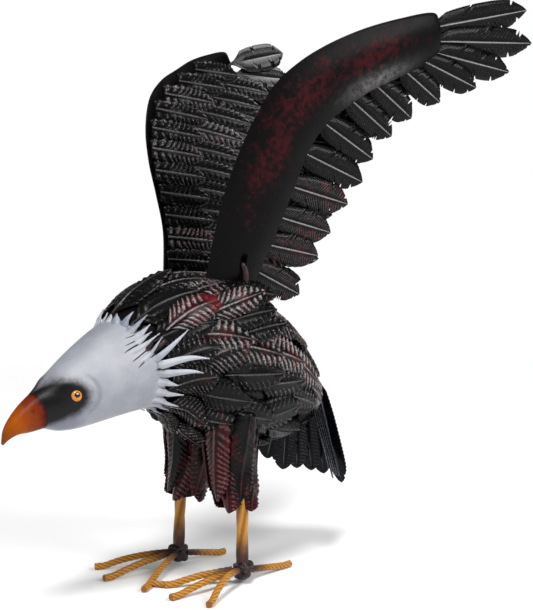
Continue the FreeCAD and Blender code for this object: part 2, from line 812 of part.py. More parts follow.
def coat_keep_outs(tail):
    blocks = list(tail)
    for side in (1, -1):
        blocks += [thigh_room(side), wing_root_keep_out(side)]
        for foot in hook_feet(side):
            blocks.append(socket_block(foot, hook_crossing(side).z - foot.z, clear_gap))
    return blocks


def build_all():
    body = ring_loft(body_rows, 0, 0, len(body_rows) - 1, 2)
    head = ring_loft(head_rows, 0, 0, len(head_rows) - 1)
    nodes = body_shells(body)
    nodes["head_shell"] = head.cut(ring_loft(head_rows, shell_sheet, 0, len(head_rows) - 1))
    nodes["beak"] = ring_loft(beak_rows, 0, 0, len(beak_rows) - 1)
    nodes["neck_fringe"] = Part.makeCompound(fringe())
    for side, word in ((1, "left"), (-1, "right")):
        nodes[word + "_eye"] = eye(side, head)
        nodes[word + "_sockets"] = Part.makeCompound([socket(foot) for foot in hook_feet(side)])
        nodes.update(build_wing(side, word))
        nodes.update(build_leg(side, word, body))
    nodes["toe_tie"] = toe_tie(nodes["left_toes"].Solids + nodes["right_toes"].Solids)
    tail = build_tail(body)
    nodes["tail_feathers"] = Part.makeCompound(tail)
    for name, solids in body_coat(coat_keep_outs(tail)).items():
        nodes[name] = Part.makeCompound(solids)
    return nodes


def main():
    nodes = build_all()
    box = FreeCAD.BoundBox()
    for shape in nodes.values():
        box.add(shape.BoundBox)
    shift = vec(-box.Center.x, -box.Center.y, -box.ZMin)
    os.makedirs("parts", exist_ok=True)
    for name, shape in nodes.items():
        shape.translate(shift)
        shape.exportStep("parts/%s.step" % name)
    print("shift", shift, "box", box.XLength, box.YLength, box.ZLength, "nodes", len(nodes))


main()
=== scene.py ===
import math
import bmesh
import bpy
import numpy as np
from mathutils import Matrix, Vector


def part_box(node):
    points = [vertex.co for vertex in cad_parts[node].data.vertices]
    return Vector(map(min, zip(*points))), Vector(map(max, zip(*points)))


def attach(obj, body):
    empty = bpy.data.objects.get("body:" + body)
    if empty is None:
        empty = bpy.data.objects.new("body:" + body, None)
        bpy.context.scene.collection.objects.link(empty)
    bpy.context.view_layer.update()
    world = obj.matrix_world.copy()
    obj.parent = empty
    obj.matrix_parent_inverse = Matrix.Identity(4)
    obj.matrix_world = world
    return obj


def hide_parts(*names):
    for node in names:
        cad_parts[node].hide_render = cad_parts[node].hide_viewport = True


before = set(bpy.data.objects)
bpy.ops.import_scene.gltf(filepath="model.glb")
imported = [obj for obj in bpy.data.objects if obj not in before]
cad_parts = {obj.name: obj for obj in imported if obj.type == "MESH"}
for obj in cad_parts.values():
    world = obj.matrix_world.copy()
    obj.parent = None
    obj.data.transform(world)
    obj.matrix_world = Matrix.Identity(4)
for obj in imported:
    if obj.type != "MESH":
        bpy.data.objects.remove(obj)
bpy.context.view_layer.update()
scene = bpy.context.scene
mm = 0.001
sides = ((1, "left"), (-1, "right"))
print("frame loaded,", len(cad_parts), "nodes")

# the ankles' middle on the floor is where the bird's own measures start
shankLow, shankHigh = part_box("left_shank")
headLow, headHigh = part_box("head_shell")
start = np.array([(headLow.x + headHigh.x) / 2, (shankLow.y + shankHigh.y) / 2, 0.0])

# metres; tables are shares of the back height or of the wing length
bird = {
    "backHeight": 0.262,
    "wingLength": 0.380,
    "ankleSpread": 0.0416,
    "toeReach": 0.080,
    "leafSheet": 0.9 * mm,
    "seed": 11,
}
backHeight = bird["backHeight"]
wingLength = bird["wingLength"]
leafSheet = bird["leafSheet"]
dice = np.random.default_rng(bird["seed"])

# top Y, top Z, bottom Y, bottom Z, half width
bodyRows = backHeight * np.array([
    (-0.397, 0.864, -0.260, 0.582, 0.148),
    (-0.302, 0.938, -0.170, 0.551, 0.176),
    (-0.170, 0.984, -0.104, 0.490, 0.196),
    (0.000, 0.976, 0.000, 0.444, 0.204),
    (0.148, 0.922, 0.140, 0.428, 0.188),
    (0.277, 0.840, 0.270, 0.436, 0.154),
    (0.380, 0.734, 0.376, 0.460, 0.110),
    (0.444, 0.642, 0.440, 0.502, 0.064)])
headRows = backHeight * np.array([
    (-0.687, 0.659, -0.655, 0.553, 0.050),
    (-0.655, 0.684, -0.607, 0.541, 0.073),
    (-0.606, 0.728, -0.557, 0.540, 0.089),
    (-0.556, 0.767, -0.504, 0.546, 0.103),
    (-0.504, 0.802, -0.439, 0.557, 0.119),
    (-0.451, 0.835, -0.353, 0.571, 0.135),
    (-0.397, 0.864, -0.260, 0.582, 0.148)])
beakRows = backHeight * np.array([
    (-0.687, 0.659, -0.655, 0.553, 0.050),
    (-0.729, 0.627, -0.699, 0.546, 0.040),
    (-0.763, 0.592, -0.739, 0.543, 0.028),
    (-0.784, 0.560, -0.769, 0.532, 0.016),
    (-0.792, 0.525, -0.787, 0.518, 0.005)])
# X, Y, Z, radius
thighRows = backHeight * np.array([
    (0.096, 0.006, 0.540, 0.088),
    (0.097, 0.006, 0.455, 0.074),
    (0.100, 0.006, 0.374, 0.057),
    (0.114, 0.005, 0.302, 0.045),
    (0.132, 0.004, 0.240, 0.034)])


class Wire:
    # a node's socket that takes part in sums, so that trees are written as expressions
    def __init__(self, board, socket):
        self.board = board
        self.socket = socket

    def join(self, operation, other=None, swapped=False):
        pair = [other, self] if swapped else [self, other]
        vectors = [isinstance(w, Wire) and w.socket.type == "VECTOR" for w in pair]
        if operation == "MULTIPLY" and any(vectors) and not all(vectors):
            vector, number = pair if vectors[0] else pair[::-1]
            return self.board.node("ShaderNodeVectorMath", {"operation": "SCALE"},
                                   {"Vector": vector, "Scale": number})
        kind = "ShaderNodeVectorMath" if any(vectors) else "ShaderNodeMath"
        sockets = {0: pair[0]} if other is None else {0: pair[0], 1: pair[1]}
        return self.board.node(kind, {"operation": operation}, sockets)

    def __add__(self, other):
        return self.join("ADD", other)

    def __radd__(self, other):
        return self.join("ADD", other, True)

    def __sub__(self, other):
        return self.join("SUBTRACT", other)

    def __rsub__(self, other):
        return self.join("SUBTRACT", other, True)

    def __mul__(self, other):
        return self.join("MULTIPLY", other)

    def __rmul__(self, other):
        return self.join("MULTIPLY", other, True)

    def __truediv__(self, other):
        return self.join("DIVIDE", other)

    def __rtruediv__(self, other):
        return self.join("DIVIDE", other, True)

    def __pow__(self, other):
        return self.join("POWER", other)

    def __mod__(self, other):
        return self.join("FLOORED_MODULO", other)

    def least(self, other):
        return self.join("MINIMUM", other)

    def most(self, other):
        return self.join("MAXIMUM", other)

    def above(self, other):
        return self.join("GREATER_THAN", other)

    def size(self):
        return self.join("ABSOLUTE")

    def sign(self):
        return self.join("SIGN")

    def whole(self):
        return self.join("ROUND")

    def length(self):
        return self.board.node("ShaderNodeVectorMath", {"operation": "LENGTH"}, {0: self}, "Value")

    def part(self, axis):
        return self.board.node("ShaderNodeSeparateXYZ", {}, {0: self}, axis)

    def ramp(self, low, high):
        return self.board.node("ShaderNodeMapRange", {"interpolation_type": "SMOOTHSTEP"},
                               {"Value": self, "From Min": low, "From Max": high})


class Board:
    # a node tree that takes a node's kind, settings and sockets in one call
    def __init__(self, tree):
        self.tree = tree

    def node(self, kind, settings=None, sockets=None, out=None):
        made = self.tree.nodes.new(kind)
        for key, value in (settings or {}).items():
            if key == "curve":
                self.setCurve(made, value)
            else:
                setattr(made, key, value)
        for key, value in (sockets or {}).items():
            socket = made.inputs[key] if isinstance(key, int) else \
                [s for s in made.inputs if s.name == key and s.enabled][0]
            if isinstance(value, Wire):
                self.tree.links.new(value.socket, socket)
            else:
                socket.default_value = value
        shown = [s for s in made.outputs if s.enabled and (out is None or s.name == out)]
        return Wire(self, shown[0]) if shown else made

    def setCurve(self, made, points):
        curve = made.mapping.curves[0]
        while len(curve.points) < len(points):
            curve.points.new(0.5, 0.5)
        for point, (x, y) in zip(curve.points, points):
            point.location = (x, y)
        made.mapping.update()

    def color(self, value):
        return value if isinstance(value, Wire) else (*value, 1.0)

    def mix(self, factor, first, second):
        sockets = {"Factor": factor, "A": self.color(first), "B": self.color(second)}
        return self.node("ShaderNodeMix", {"data_type": "RGBA"}, sockets, "Result")

    def vector(self, x, y, z):
        return self.node("ShaderNodeCombineXYZ", {}, {0: x, 1: y, 2: z})

    def spot(self):
        return self.node("ShaderNodeTexCoord", {}, {}, "Object")

    def noise(self, size, detail, rough):
        return self.node("ShaderNodeTexNoise", {}, {"Vector": self.spot(), "Scale": 1 / size,
                                                    "Detail": detail, "Roughness": rough})

    def attribute(self, name):
        return self.node("ShaderNodeAttribute", {"attribute_name": name}, {}, "Fac")


def newPaint(name, *noises):
    # an empty material and its noises, each given as size, detail and roughness
    made = bpy.data.materials.new(name)
    made.use_nodes = True
    made.node_tree.nodes.clear()
    board = Board(made.node_tree)
    return made, board, *[board.noise(*grain) for grain in noises]


def finishPaint(board, color, roughness, bump, depth, coat=0.0, gloss=0.5):
    normal = board.node("ShaderNodeBump", {}, {"Height": bump, "Distance": depth, "Strength": 1.0})
    shader = board.node("ShaderNodeBsdfPrincipled", {}, {
        "Base Color": color, "Roughness": roughness, "Specular IOR Level": gloss,
        "Coat Weight": coat, "Normal": normal})
    board.node("ShaderNodeOutputMaterial", {}, {"Surface": shader})


featherPaint = {
    "black": (0.0030, 0.0026, 0.0030),
    "maroon": (0.085, 0.006, 0.009),
    "crestHighlight": (0.30, 0.28, 0.28),
    "sponge": (15 * mm, 4.0, 0.62),
    "grain": (1.5 * mm, 3.0, 0.6),
    "redRange": (-0.04, 0.14),
    "redTipRange": (0.66, 0.80),
    "crestLightRange": (0.70, 1.22),
    "ridgeRange": (0.10, 0.66),
    "quillRange": (0.30, 0.80),
    "rough": 0.19,
    "roughGrain": 0.14,
    "bump": 0.25 * mm,
    "gloss": 0.12,
}


def makeFeatherPaint(name, red, crestHighlightShare, shine, black=None, crestHighlight=None):
    # black paint with sponged red patches, a painted highlight on what stands proud and a painted
    # shine along the quill
    style = featherPaint
    made, board, sponge, fine = newPaint(name, style["sponge"], style["grain"])
    crestHighlight = crestHighlight or style["crestHighlight"]
    ridge, tint, along = [board.attribute(label) for label in ("ridge", "tint", "along")]
    quill = board.attribute("quill").ramp(*style["quillRange"])
    patch = sponge * 0.85 + fine * 0.25 + tint.least(1) * 0.10 + along * 0.08 - (0.80 - red)
    patch = patch.ramp(*style["redRange"])
    tip = (along + (sponge - 0.5) * 0.2).ramp(*style["redTipRange"])
    tip = (tint - 1.5).ramp(0.0, 0.8) * tip
    base = board.mix((patch * (0.30 + 0.70 * ridge)).most(tip), black or style["black"],
                     style["maroon"])
    # painted highlight: pale grey on the barbs' crests, more where the tint is high
    crestLight = (fine * 1.1 + ridge * 0.4 + tint.least(1) * 0.16).ramp(*style["crestLightRange"])
    crestLight = crestLight * ridge.ramp(*style["ridgeRange"]) * crestHighlightShare * (1 - tip)
    color = board.mix(crestLight, base, crestHighlight)
    # painted highlight along the quill
    color = board.mix(quill * shine * (0.45 + fine), color, crestHighlight)
    finishPaint(board, color, style["rough"] + fine * style["roughGrain"], fine * 0.5 + sponge,
                style["bump"], gloss=style["gloss"])
    return made


platePaint = {
    "black": (0.0030, 0.0026, 0.0030),
    "maroon": (0.064, 0.006, 0.008),
    "sheen": (0.13, 0.125, 0.125),
    "patch": (26 * mm, 3.0, 0.55),
    "spot": (5 * mm, 4.0, 0.6),
    "grain": (1.1 * mm, 2.0, 0.5),
    "redRange": (0.86, 1.20),
    "sheenRange": (0.40, 0.95),
    "rough": 0.24,
    "bump": 0.22 * mm,
    "gloss": 0.06,
}


def makePlatePaint(name):
    # smooth black sheet with sponged red along its middle and a painted pale reflection near its
    # lower edge
    style = platePaint
    made, board, patch, spot, fine = newPaint(name, style["patch"], style["spot"], style["grain"])
    red = patch * 0.55 + spot * 0.95 + board.attribute("band") * 0.30
    color = board.mix(red.ramp(*style["redRange"]) * (0.05 + fine), style["black"],
                      style["maroon"])
    # painted reflection: a pale grey sheen mixed in near the plate's lower edge
    worn = board.attribute("worn") * (spot + fine * 0.5).ramp(*style["sheenRange"])
    color = board.mix(worn, color, style["sheen"])
    finishPaint(board, color, style["rough"] + spot * 0.18 + fine * 0.08, spot + fine * 0.6,
                style["bump"], gloss=style["gloss"])
    return made


headPaint = {
    "white": (0.42, 0.425, 0.455),
    "shade": (0.20, 0.21, 0.26),
    "black": (0.0035, 0.003, 0.0035),
    "soft": (16 * mm, 3.0, 0.5),
    "grain": (2.2 * mm, 3.0, 0.6),
    "shadeRange": (0.0, 0.85),
    "patchRange": (0.24, 0.72),
    "rough": 0.40,
    "bump": 0.25 * mm,
    "gloss": 0.22,
}


def makeHeadPaint(name):
    # white paint with painted grey shade and a soft black patch round the eye
    style = headPaint
    made, board, soft, fine = newPaint(name, style["soft"], style["grain"])
    grey = board.attribute("shade") + soft * 0.45 + fine * 0.12 - 0.36
    color = board.mix(grey.ramp(*style["shadeRange"]), style["white"], style["shade"])
    patch = board.attribute("patch") + (soft - 0.5) * 0.30 + (fine - 0.5) * 0.16
    patch = patch.ramp(*style["patchRange"])
    color = board.mix(patch, color, style["black"])
    finishPaint(board, color, style["rough"] + fine * 0.12 - patch * 0.08, fine * 0.6 + soft,
                style["bump"], gloss=style["gloss"])
    return made


fringePaint = {
    "white": (0.43, 0.445, 0.49),
    "shade": (0.20, 0.225, 0.285),
    "soft": (11 * mm, 2.0, 0.5),
    "grain": (2.0 * mm, 3.0, 0.6),
    "shadeRange": (0.35, 0.9),
    "rough": 0.38,
    "bump": 0.15 * mm,
    "gloss": 0.35,
}


def makeFringePaint(name):
    style = fringePaint
    made, board, soft, fine = newPaint(name, style["soft"], style["grain"])
    shade = soft * 0.6 + board.attribute("tint") * 0.35 + fine * 0.15
    color = board.mix(shade.ramp(*style["shadeRange"]), style["white"], style["shade"])
    finishPaint(board, color, style["rough"] + fine * 0.1, fine, style["bump"],
                gloss=style["gloss"])
    return made


beakPaint = {
    "edge": (0.012, 0.003, 0.003),
    "root": (0.11, 0.007, 0.004),
    "orange": (0.31, 0.064, 0.002),
    "tip": (0.17, 0.040, 0.002),
    "nostril": (0.06, 0.010, 0.004),
    "soft": (9 * mm, 3.0, 0.5),
    "grain": (1.5 * mm, 2.0, 0.5),
    "edgeRange": (0.06, 0.20),
    "rootRange": (0.14, 0.62),
    "tipRange": (0.55, 1.10),
    "rough": 0.30,
    "bump": 0.2 * mm,
    "gloss": 0.09,
}


def makeBeakPaint(name):
    # orange that fades to dark red at the root and to brown at the tip
    style = beakPaint
    made, board, soft, fine = newPaint(name, style["soft"], style["grain"])
    along = board.attribute("along")
    nostril = board.attribute("nostril").ramp(0.2, 0.9) * 0.8
    color = board.mix((along + soft * 0.25).ramp(*style["rootRange"]), style["root"],
                      style["orange"])
    color = board.mix((along + soft * 0.16).ramp(*style["edgeRange"]), style["edge"], color)
    color = board.mix((along + soft * 0.2).ramp(*style["tipRange"]), color, style["tip"])
    color = board.mix(nostril, color, style["nostril"])
    finishPaint(board, color, style["rough"] + fine * 0.10, fine + soft * 2, style["bump"],
                gloss=style["gloss"])
    return made


eyePaint = {
    "pupil": (0.004, 0.003, 0.003),
    "amber": (0.62, 0.21, 0.012),
    "rim": (0.012, 0.006, 0.004),
    "glint": (0.9, 0.9, 0.88),
    "fleck": (0.9 * mm, 2.0, 0.5),
    "pupilRange": (0.40, 0.50),
    "rimRange": (0.86, 0.97),
    "rough": 0.16,
    "bump": 0.05 * mm,
    "coat": 0.25,
}


def makeEyePaint(name):
    # amber ring with a black pupil, a dark rim and a small glint
    style = eyePaint
    made, board, fleck = newPaint(name, style["fleck"])
    ring = board.attribute("ring") + fleck * 0.08
    color = board.mix(ring.ramp(*style["pupilRange"]), style["pupil"], style["amber"])
    color = board.mix(ring.ramp(*style["rimRange"]), color, style["rim"])
    color = board.mix(board.attribute("glint").ramp(0.4, 0.6), color, style["glint"])
    finishPaint(board, color, style["rough"] + fleck * 0.1, fleck, style["bump"],
                coat=style["coat"])
    return made


legPaint = {
    "ochre": (0.50, 0.225, 0.022),
    "dark": (0.24, 0.090, 0.010),
    "maroon": (0.030, 0.006, 0.008),
    "soft": (7 * mm, 3.0, 0.5),
    "grain": (1.2 * mm, 3.0, 0.6),
    "grooveRange": (0.35, 1.05),
    "fadeHeight": 0.008,
    "fadeRange": (0.010, 0.040),
    "rough": 0.30,
    "bump": 0.2 * mm,
    "coat": 0.08,
    "gloss": 0.28,
}


def makeLegPaint(name):
    # golden ochre rod, darker in its grooves, fading to burnt maroon at the weld
    style = legPaint
    made, board, soft, fine = newPaint(name, style["soft"], style["grain"])
    x, y, z = [board.spot().part(axis) for axis in "XYZ"]
    x = (x - float(start[0])).size() - bird["ankleSpread"]
    away = board.vector(x, y - float(start[1]), (z - style["fadeHeight"]) * 0.9).length()
    groove = board.attribute("ridge") * 0.8 + soft * 0.5 + fine * 0.2
    color = board.mix(groove.ramp(*style["grooveRange"]), style["dark"], style["ochre"])
    burnt = 1 - (away + (soft - 0.5) * 0.012).ramp(*style["fadeRange"])
    color = board.mix(burnt, color, style["maroon"])
    finishPaint(board, color, style["rough"] + fine * 0.14, fine + soft, style["bump"],
                coat=style["coat"], gloss=style["gloss"])
    return made


# rough is the smooth share and what the grain adds; lumps are the soft and the fine bumps' shares
weldPaint = {
    "black": (0.003, 0.002, 0.0025), "maroon": (0.030, 0.005, 0.006),
    "soft": (4 * mm, 3.0, 0.5), "grain": (1.0 * mm, 3.0, 0.6), "redRange": (0.4, 0.7),
    "rough": (0.16, 0.18), "lumps": (2.0, 1.0), "bump": 0.5 * mm, "gloss": 0.4,
}
steelPaint = {
    "black": (0.004, 0.003, 0.004), "maroon": (0.030, 0.008, 0.009),
    "soft": (8 * mm, 3.0, 0.6), "grain": (1.0 * mm, 3.0, 0.6), "redRange": (0.45, 0.7),
    "rough": (0.28, 0.20), "lumps": (1.0, 0.4), "bump": 0.3 * mm, "gloss": 0.3,
}


def makeDarkPaint(name, style):
    made, board, soft, fine = newPaint(name, style["soft"], style["grain"])
    color = board.mix(soft.ramp(*style["redRange"]), style["black"], style["maroon"])
    even, grained = style["rough"]
    large, small = style["lumps"]
    finishPaint(board, color, even + fine * grained, soft * large + fine * small, style["bump"],
                gloss=style["gloss"])
    return made


# share of red, of painted highlight on the barbs' crests and of painted shine on the quill
paints = {
    "coat": makeFeatherPaint("coatFeatherPaint", 0.14, 1.15, 0.16),
    "thigh": makeFeatherPaint("thighFeatherPaint", 0.26, 0.24, 0.04),
    "covert": makeFeatherPaint("covertFeatherPaint", 0.08, 0.82, 0.26),
    "flight": makeFeatherPaint("flightFeatherPaint", 0.04, 0.17, 0.80),
    "tail": makeFeatherPaint("tailFeatherPaint", -0.06, 0.28, 0.45,
                             black=(0.004, 0.0045, 0.007), crestHighlight=(0.20, 0.22, 0.27)),
    "plate": makePlatePaint("platePaint"),
    "head": makeHeadPaint("whiteHeadPaint"),
    "fringe": makeFringePaint("whiteFringePaint"),
    "beak": makeBeakPaint("beakPaint"),
    "eye": makeEyePaint("eyePaint"),
    "leg": makeLegPaint("legPaint"),
    "weld": makeDarkPaint("weldPaint", weldPaint),
    "steel": makeDarkPaint("darkSteelPaint", steelPaint),
}
print("paints made,", len(paints))


def readRows(rows, place):
    # smooth reading of a table at places counted in rows, straight beyond its ends
    place = np.asarray(place, float)
    index = np.clip(np.floor(place).astype(int), 0, len(rows) - 2)
    part = (place - index)[..., None]
    a, b = rows[np.maximum(index - 1, 0)], rows[index]
    c, d = rows[index + 1], rows[np.minimum(index + 2, len(rows) - 1)]
    smooth = (b + (c - a) * part / 2 + (2 * a - 5 * b + 4 * c - d) * part ** 2 / 2
              + (3 * b - a - 3 * c + d) * part ** 3 / 2)
    return np.where((part < 0) | (part > 1), b + (c - b) * part, smooth)


def ringPoint(row, angle):
    topY, topZ, lowY, lowZ, half = np.moveaxis(row, -1, 0)
    side = np.cos(angle)
    return np.stack([half * np.sin(angle), (topY + lowY) / 2 + (topY - lowY) / 2 * side,
                     (topZ + lowZ) / 2 + (topZ - lowZ) / 2 * side], -1)


def bodySurface(place, angle):
    return ringPoint(readRows(bodyRows, place), angle)


def collarSurface(place, angle):
    # the body's surface, carried on over the head in front of the collar
    place = np.asarray(place, float)
    front = ringPoint(readRows(headRows, len(headRows) - 1 + place), angle)
    return np.where((place < 0)[..., None], front, bodySurface(place, angle))


def thighSurface(side):
    def surface(place, angle):
        x, y, z, radius = np.moveaxis(readRows(thighRows, place), -1, 0)
        return np.stack([side * x + radius * np.cos(angle), y - radius * np.sin(angle), z], -1)
    return surface


def unit(v):
    return v / np.linalg.norm(v, axis=-1, keepdims=True)


def dot(a, b):
    return (a * b).sum(-1, keepdims=True)


def distance(a, b):
    return np.linalg.norm(b - a)


def beside(surface, place, angle, across, height):
    # a point over a surface, beside and above a middle point, in the plane of that section
    step = 0.01
    along = surface(place + step, angle) - surface(place - step, angle)
    around = surface(place, angle + step) - surface(place, angle - step)
    normal = unit(np.cross(around, along))
    turn = across * 2 * step / np.linalg.norm(around, axis=-1)
    middle = surface(place, angle)
    side = surface(place, angle + turn) - middle
    level = unit(around)
    return middle + level * dot(side, level) + normal * (height[..., None] + dot(side, normal))


# a feather is a pressed leaf with a quill and slanting barbs
# outlines give the share of the width at shares of the length
leafOutline = [(0.0, 0.36), (0.12, 0.66), (0.30, 0.92), (0.52, 1.0), (0.68, 0.94), (0.86, 0.54),
               (1.0, 0.03)]
bandOutline = [(0.0, 0.80), (0.15, 0.94), (0.40, 1.0), (0.72, 0.96), (0.88, 0.62), (1.0, 0.04)]
tailOutline = [(0.0, 0.36), (0.30, 0.92), (0.60, 1.0), (0.80, 0.96), (0.92, 0.62), (1.0, 0.04)]
vaneOutline = [(0.0, 0.30), (0.18, 0.68), (0.40, 0.94), (0.62, 1.0), (0.79, 0.92), (0.90, 0.58),
               (1.0, 0.02)]
stripOutline = [(0.0, 1.0), (0.25, 0.90), (0.55, 0.66), (0.80, 0.36), (0.95, 0.12), (1.0, 0.02)]
featherInputs = {
    "Barbs": "Int", "Columns": "Int", "Barb Height": "Float", "Barb Slant": "Float",
    "Quill Width": "Float", "Quill Height": "Float", "Serration": "Float",
    "Notch Chance": "Float", "Notch Depth": "Float", "Crown": "Float", "Seed": "Int",
    "Material": "Material",
}
barbShape = {
    "rise": 4, "top": 1.08, "fall": 0.50, "rootFade": 12, "tipFade": 7, "quillTaper": 0.75,
    "quillRidge": 1.2, "rootStraight": 4, "firstNotch": 0.3, "lastNotch": 0.97,
}


def openTree(name, first, inputs, last):
    # an empty Geometry Nodes tree, as a board, and its named inputs, as wires
    tree = bpy.data.node_groups.new(name, "GeometryNodeTree")
    for label, kind in {first: "Geometry", **inputs}.items():
        tree.interface.new_socket(name=label, in_out="INPUT", socket_type="NodeSocket" + kind)
    tree.interface.new_socket(name=last, in_out="OUTPUT", socket_type="NodeSocketGeometry")
    board = Board(tree)
    entry = tree.nodes.new("NodeGroupInput")
    return board, {s.name: Wire(board, s) for s in entry.outputs if s.name}


def closeTree(board, geometry, paint):
    smooth = board.node("GeometryNodeSetShadeSmooth", {},
                        {"Geometry": geometry, "Shade Smooth": True})
    real = board.node("GeometryNodeRealizeInstances", {}, {"Geometry": smooth})
    painted = board.node("GeometryNodeSetMaterial", {}, {"Geometry": real, "Material": paint})
    board.tree.links.new(painted.socket, board.tree.nodes.new("NodeGroupOutput").inputs[0])
    return board.tree


def store(board, geometry, name, value, kind="FLOAT"):
    return board.node("GeometryNodeStoreNamedAttribute", {"data_type": kind, "domain": "POINT"},
                      {"Geometry": geometry, "Name": name, "Value": value}, "Geometry")


def makeFeatherTree(name, outline, square=False):
    board, given = openTree(name, "Points", featherInputs, "Feathers")
    shape = barbShape
    grid = board.node("GeometryNodeMeshGrid", {}, {
        "Size X": 1.0, "Size Y": 1.0, "Vertices X": given["Barbs"] * 2 + 1,
        "Vertices Y": given["Columns"]}, "Mesh")
    marked = store(board, grid, "cell", board.node("GeometryNodeInputPosition"), "FLOAT_VECTOR")
    many = board.node("GeometryNodeInstanceOnPoints", {},
                      {"Points": given["Points"], "Instance": marked})
    real = board.node("GeometryNodeRealizeInstances", {}, {"Geometry": many})

    def read(label, kind="FLOAT"):
        return board.node("GeometryNodeInputNamedAttribute", {"data_type": kind}, {"Name": label},
                          "Attribute")

    cell = read("cell", "FLOAT_VECTOR")
    width = read("width")
    line = ((cell.part("X") + 0.5) * given["Barbs"] * 2).whole()
    share = line / (given["Barbs"] * 2)
    middle = 2 / (given["Columns"] - 1)              # the first column beside the quill
    away = cell.part("Y").size() * 2
    side = cell.part("Y").sign()
    quillShare = given["Quill Width"] / width
    outer = ((away - middle) / (1 - middle)).most(0)
    out = quillShare * (away / middle).least(1) + (1 - quillShare) * outer
    ridge = line % 2                                 # every second line is a barb's crest
    slant = (1 - share) * given["Barb Slant"]
    if square:                                       # full width at the root too
        slant = slant * (share * shape["rootStraight"]).least(1)
    along = share + slant * out
    half = board.node("ShaderNodeFloatCurve", {"curve": outline}, {"Value": along}) * width / 2
    chance = board.node("FunctionNodeRandomValue", {"data_type": "FLOAT"}, {
        "Min": 0.0, "Max": 1.0, "ID": read("number") * 211 + line * 7 + side * 3 + 50,
        "Seed": given["Seed"]}, "Value")
    notch = given["Notch Chance"].above(chance) * (1 - ridge) * outer ** 2 \
        * share.above(shape["firstNotch"]) * (shape["lastNotch"] - share).above(0)
    across = out * side * half * (1 + given["Serration"] * (ridge - 0.5) * outer ** 2) \
        * (1 - notch * given["Notch Depth"])
    bell = (outer * shape["rise"]).least(1) * (shape["top"] - outer * shape["fall"])
    fade = (share * shape["rootFade"]).least(1) * ((1 - share) * shape["tipFade"]).least(1)
    quillCrest = (1 - away / middle).most(0)
    quill = quillCrest * (1 - share * shape["quillTaper"])
    height = given["Barb Height"] * ridge * bell * fade + given["Quill Height"] * quill \
        - given["Crown"] * out * out * (half * 2 / width)
    spot = board.vector(along * read("length"), across, height)
    leaves = board.node("GeometryNodeSetPosition", {}, {"Geometry": real, "Position": spot})
    leaves = store(board, leaves, "ridge",
                   (ridge * bell).most(quill * shape["quillRidge"]).least(1))
    leaves = store(board, leaves, "quill", quillCrest)
    leaves = store(board, leaves, "along", along)
    return closeTree(board, leaves, given["Material"])


trees = {
    "leaf": makeFeatherTree("leafFeathers", leafOutline),
    "band": makeFeatherTree("bandFeathers", bandOutline, square=True),
    "tail": makeFeatherTree("tailFeathers", tailOutline),
    "vane": makeFeatherTree("vaneFeathers", vaneOutline),
    "strip": makeFeatherTree("fringeStrips", stripOutline),
}


def plainMesh(host):
    # runs an object's modifiers and leaves only the mesh that they make
    scene.collection.objects.link(host)
    bpy.context.view_layer.update()
    ready = host.evaluated_get(bpy.context.evaluated_depsgraph_get())
    mesh = bpy.data.meshes.new_from_object(ready)
    bpy.data.objects.remove(host)
    return mesh


def runTree(host, tree, values):
    # sets the tree's inputs by identifier before it runs
    modifier = host.modifiers.new("shape", "NODES")
    modifier.node_group = tree
    codes = {item.name: item.identifier for item in tree.interface.items_tree
             if item.in_out == "INPUT"}
    for label, value in values.items():
        modifier[codes[label]] = value
    return plainMesh(host)


def storeValues(mesh, name, values):
    layer = mesh.attributes.new(name, "FLOAT", "POINT")
    layer.data.foreach_set("value", np.asarray(values, np.float32).ravel())


def growFeathers(name, tree, rows, style, paint):
    # rows hold one dictionary for each feather: length, width, tint and what its placing needs
    points = bpy.data.meshes.new(name + "Points")
    points.from_pydata([(0.0, 0.0, 0.0)] * len(rows), [], [])
    for label in ("length", "width", "tint"):
        storeValues(points, label, [row[label] for row in rows])
    storeValues(points, "number", range(len(rows)))
    host = bpy.data.objects.new(name + "Host", points)
    mesh = runTree(host, trees[tree], {"Seed": bird["seed"], "Material": paint, **style})
    count = len(mesh.vertices)
    spots, number = np.zeros(count * 3), np.zeros(count)
    mesh.vertices.foreach_get("co", spots)
    mesh.attributes["number"].data.foreach_get("value", number)
    return mesh, spots.reshape(-1, 3), number.round().astype(int)


def pick(rows, number, label):
    # one value of its own feather for every vertex
    return np.array([row[label] for row in rows])[number]


def setPlaces(mesh, spots):
    mesh.vertices.foreach_set("co", (spots + start).astype(np.float32).ravel())
    for label in ("cell", "number", "length", "width"):
        if label in mesh.attributes:
            mesh.attributes.remove(mesh.attributes[label])
    mesh.update()


def addPiece(name, mesh, body, nodes, sheet=0.0, sharp=38.0):
    mesh.set_sharp_from_angle(angle=math.radians(sharp))
    piece = bpy.data.objects.new(name, mesh)
    scene.collection.objects.link(piece)
    if sheet:
        solid = piece.modifiers.new("sheet", "SOLIDIFY")
        solid.thickness = sheet
        solid.offset = -1.0
    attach(piece, body)
    if nodes:
        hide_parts(*nodes)


def turned(spots, angle):
    c, s = np.cos(angle), np.sin(angle)
    return np.stack([spots[:, 0] * c - spots[:, 1] * s, spots[:, 0] * s + spots[:, 1] * c,
                     spots[:, 2]], -1)


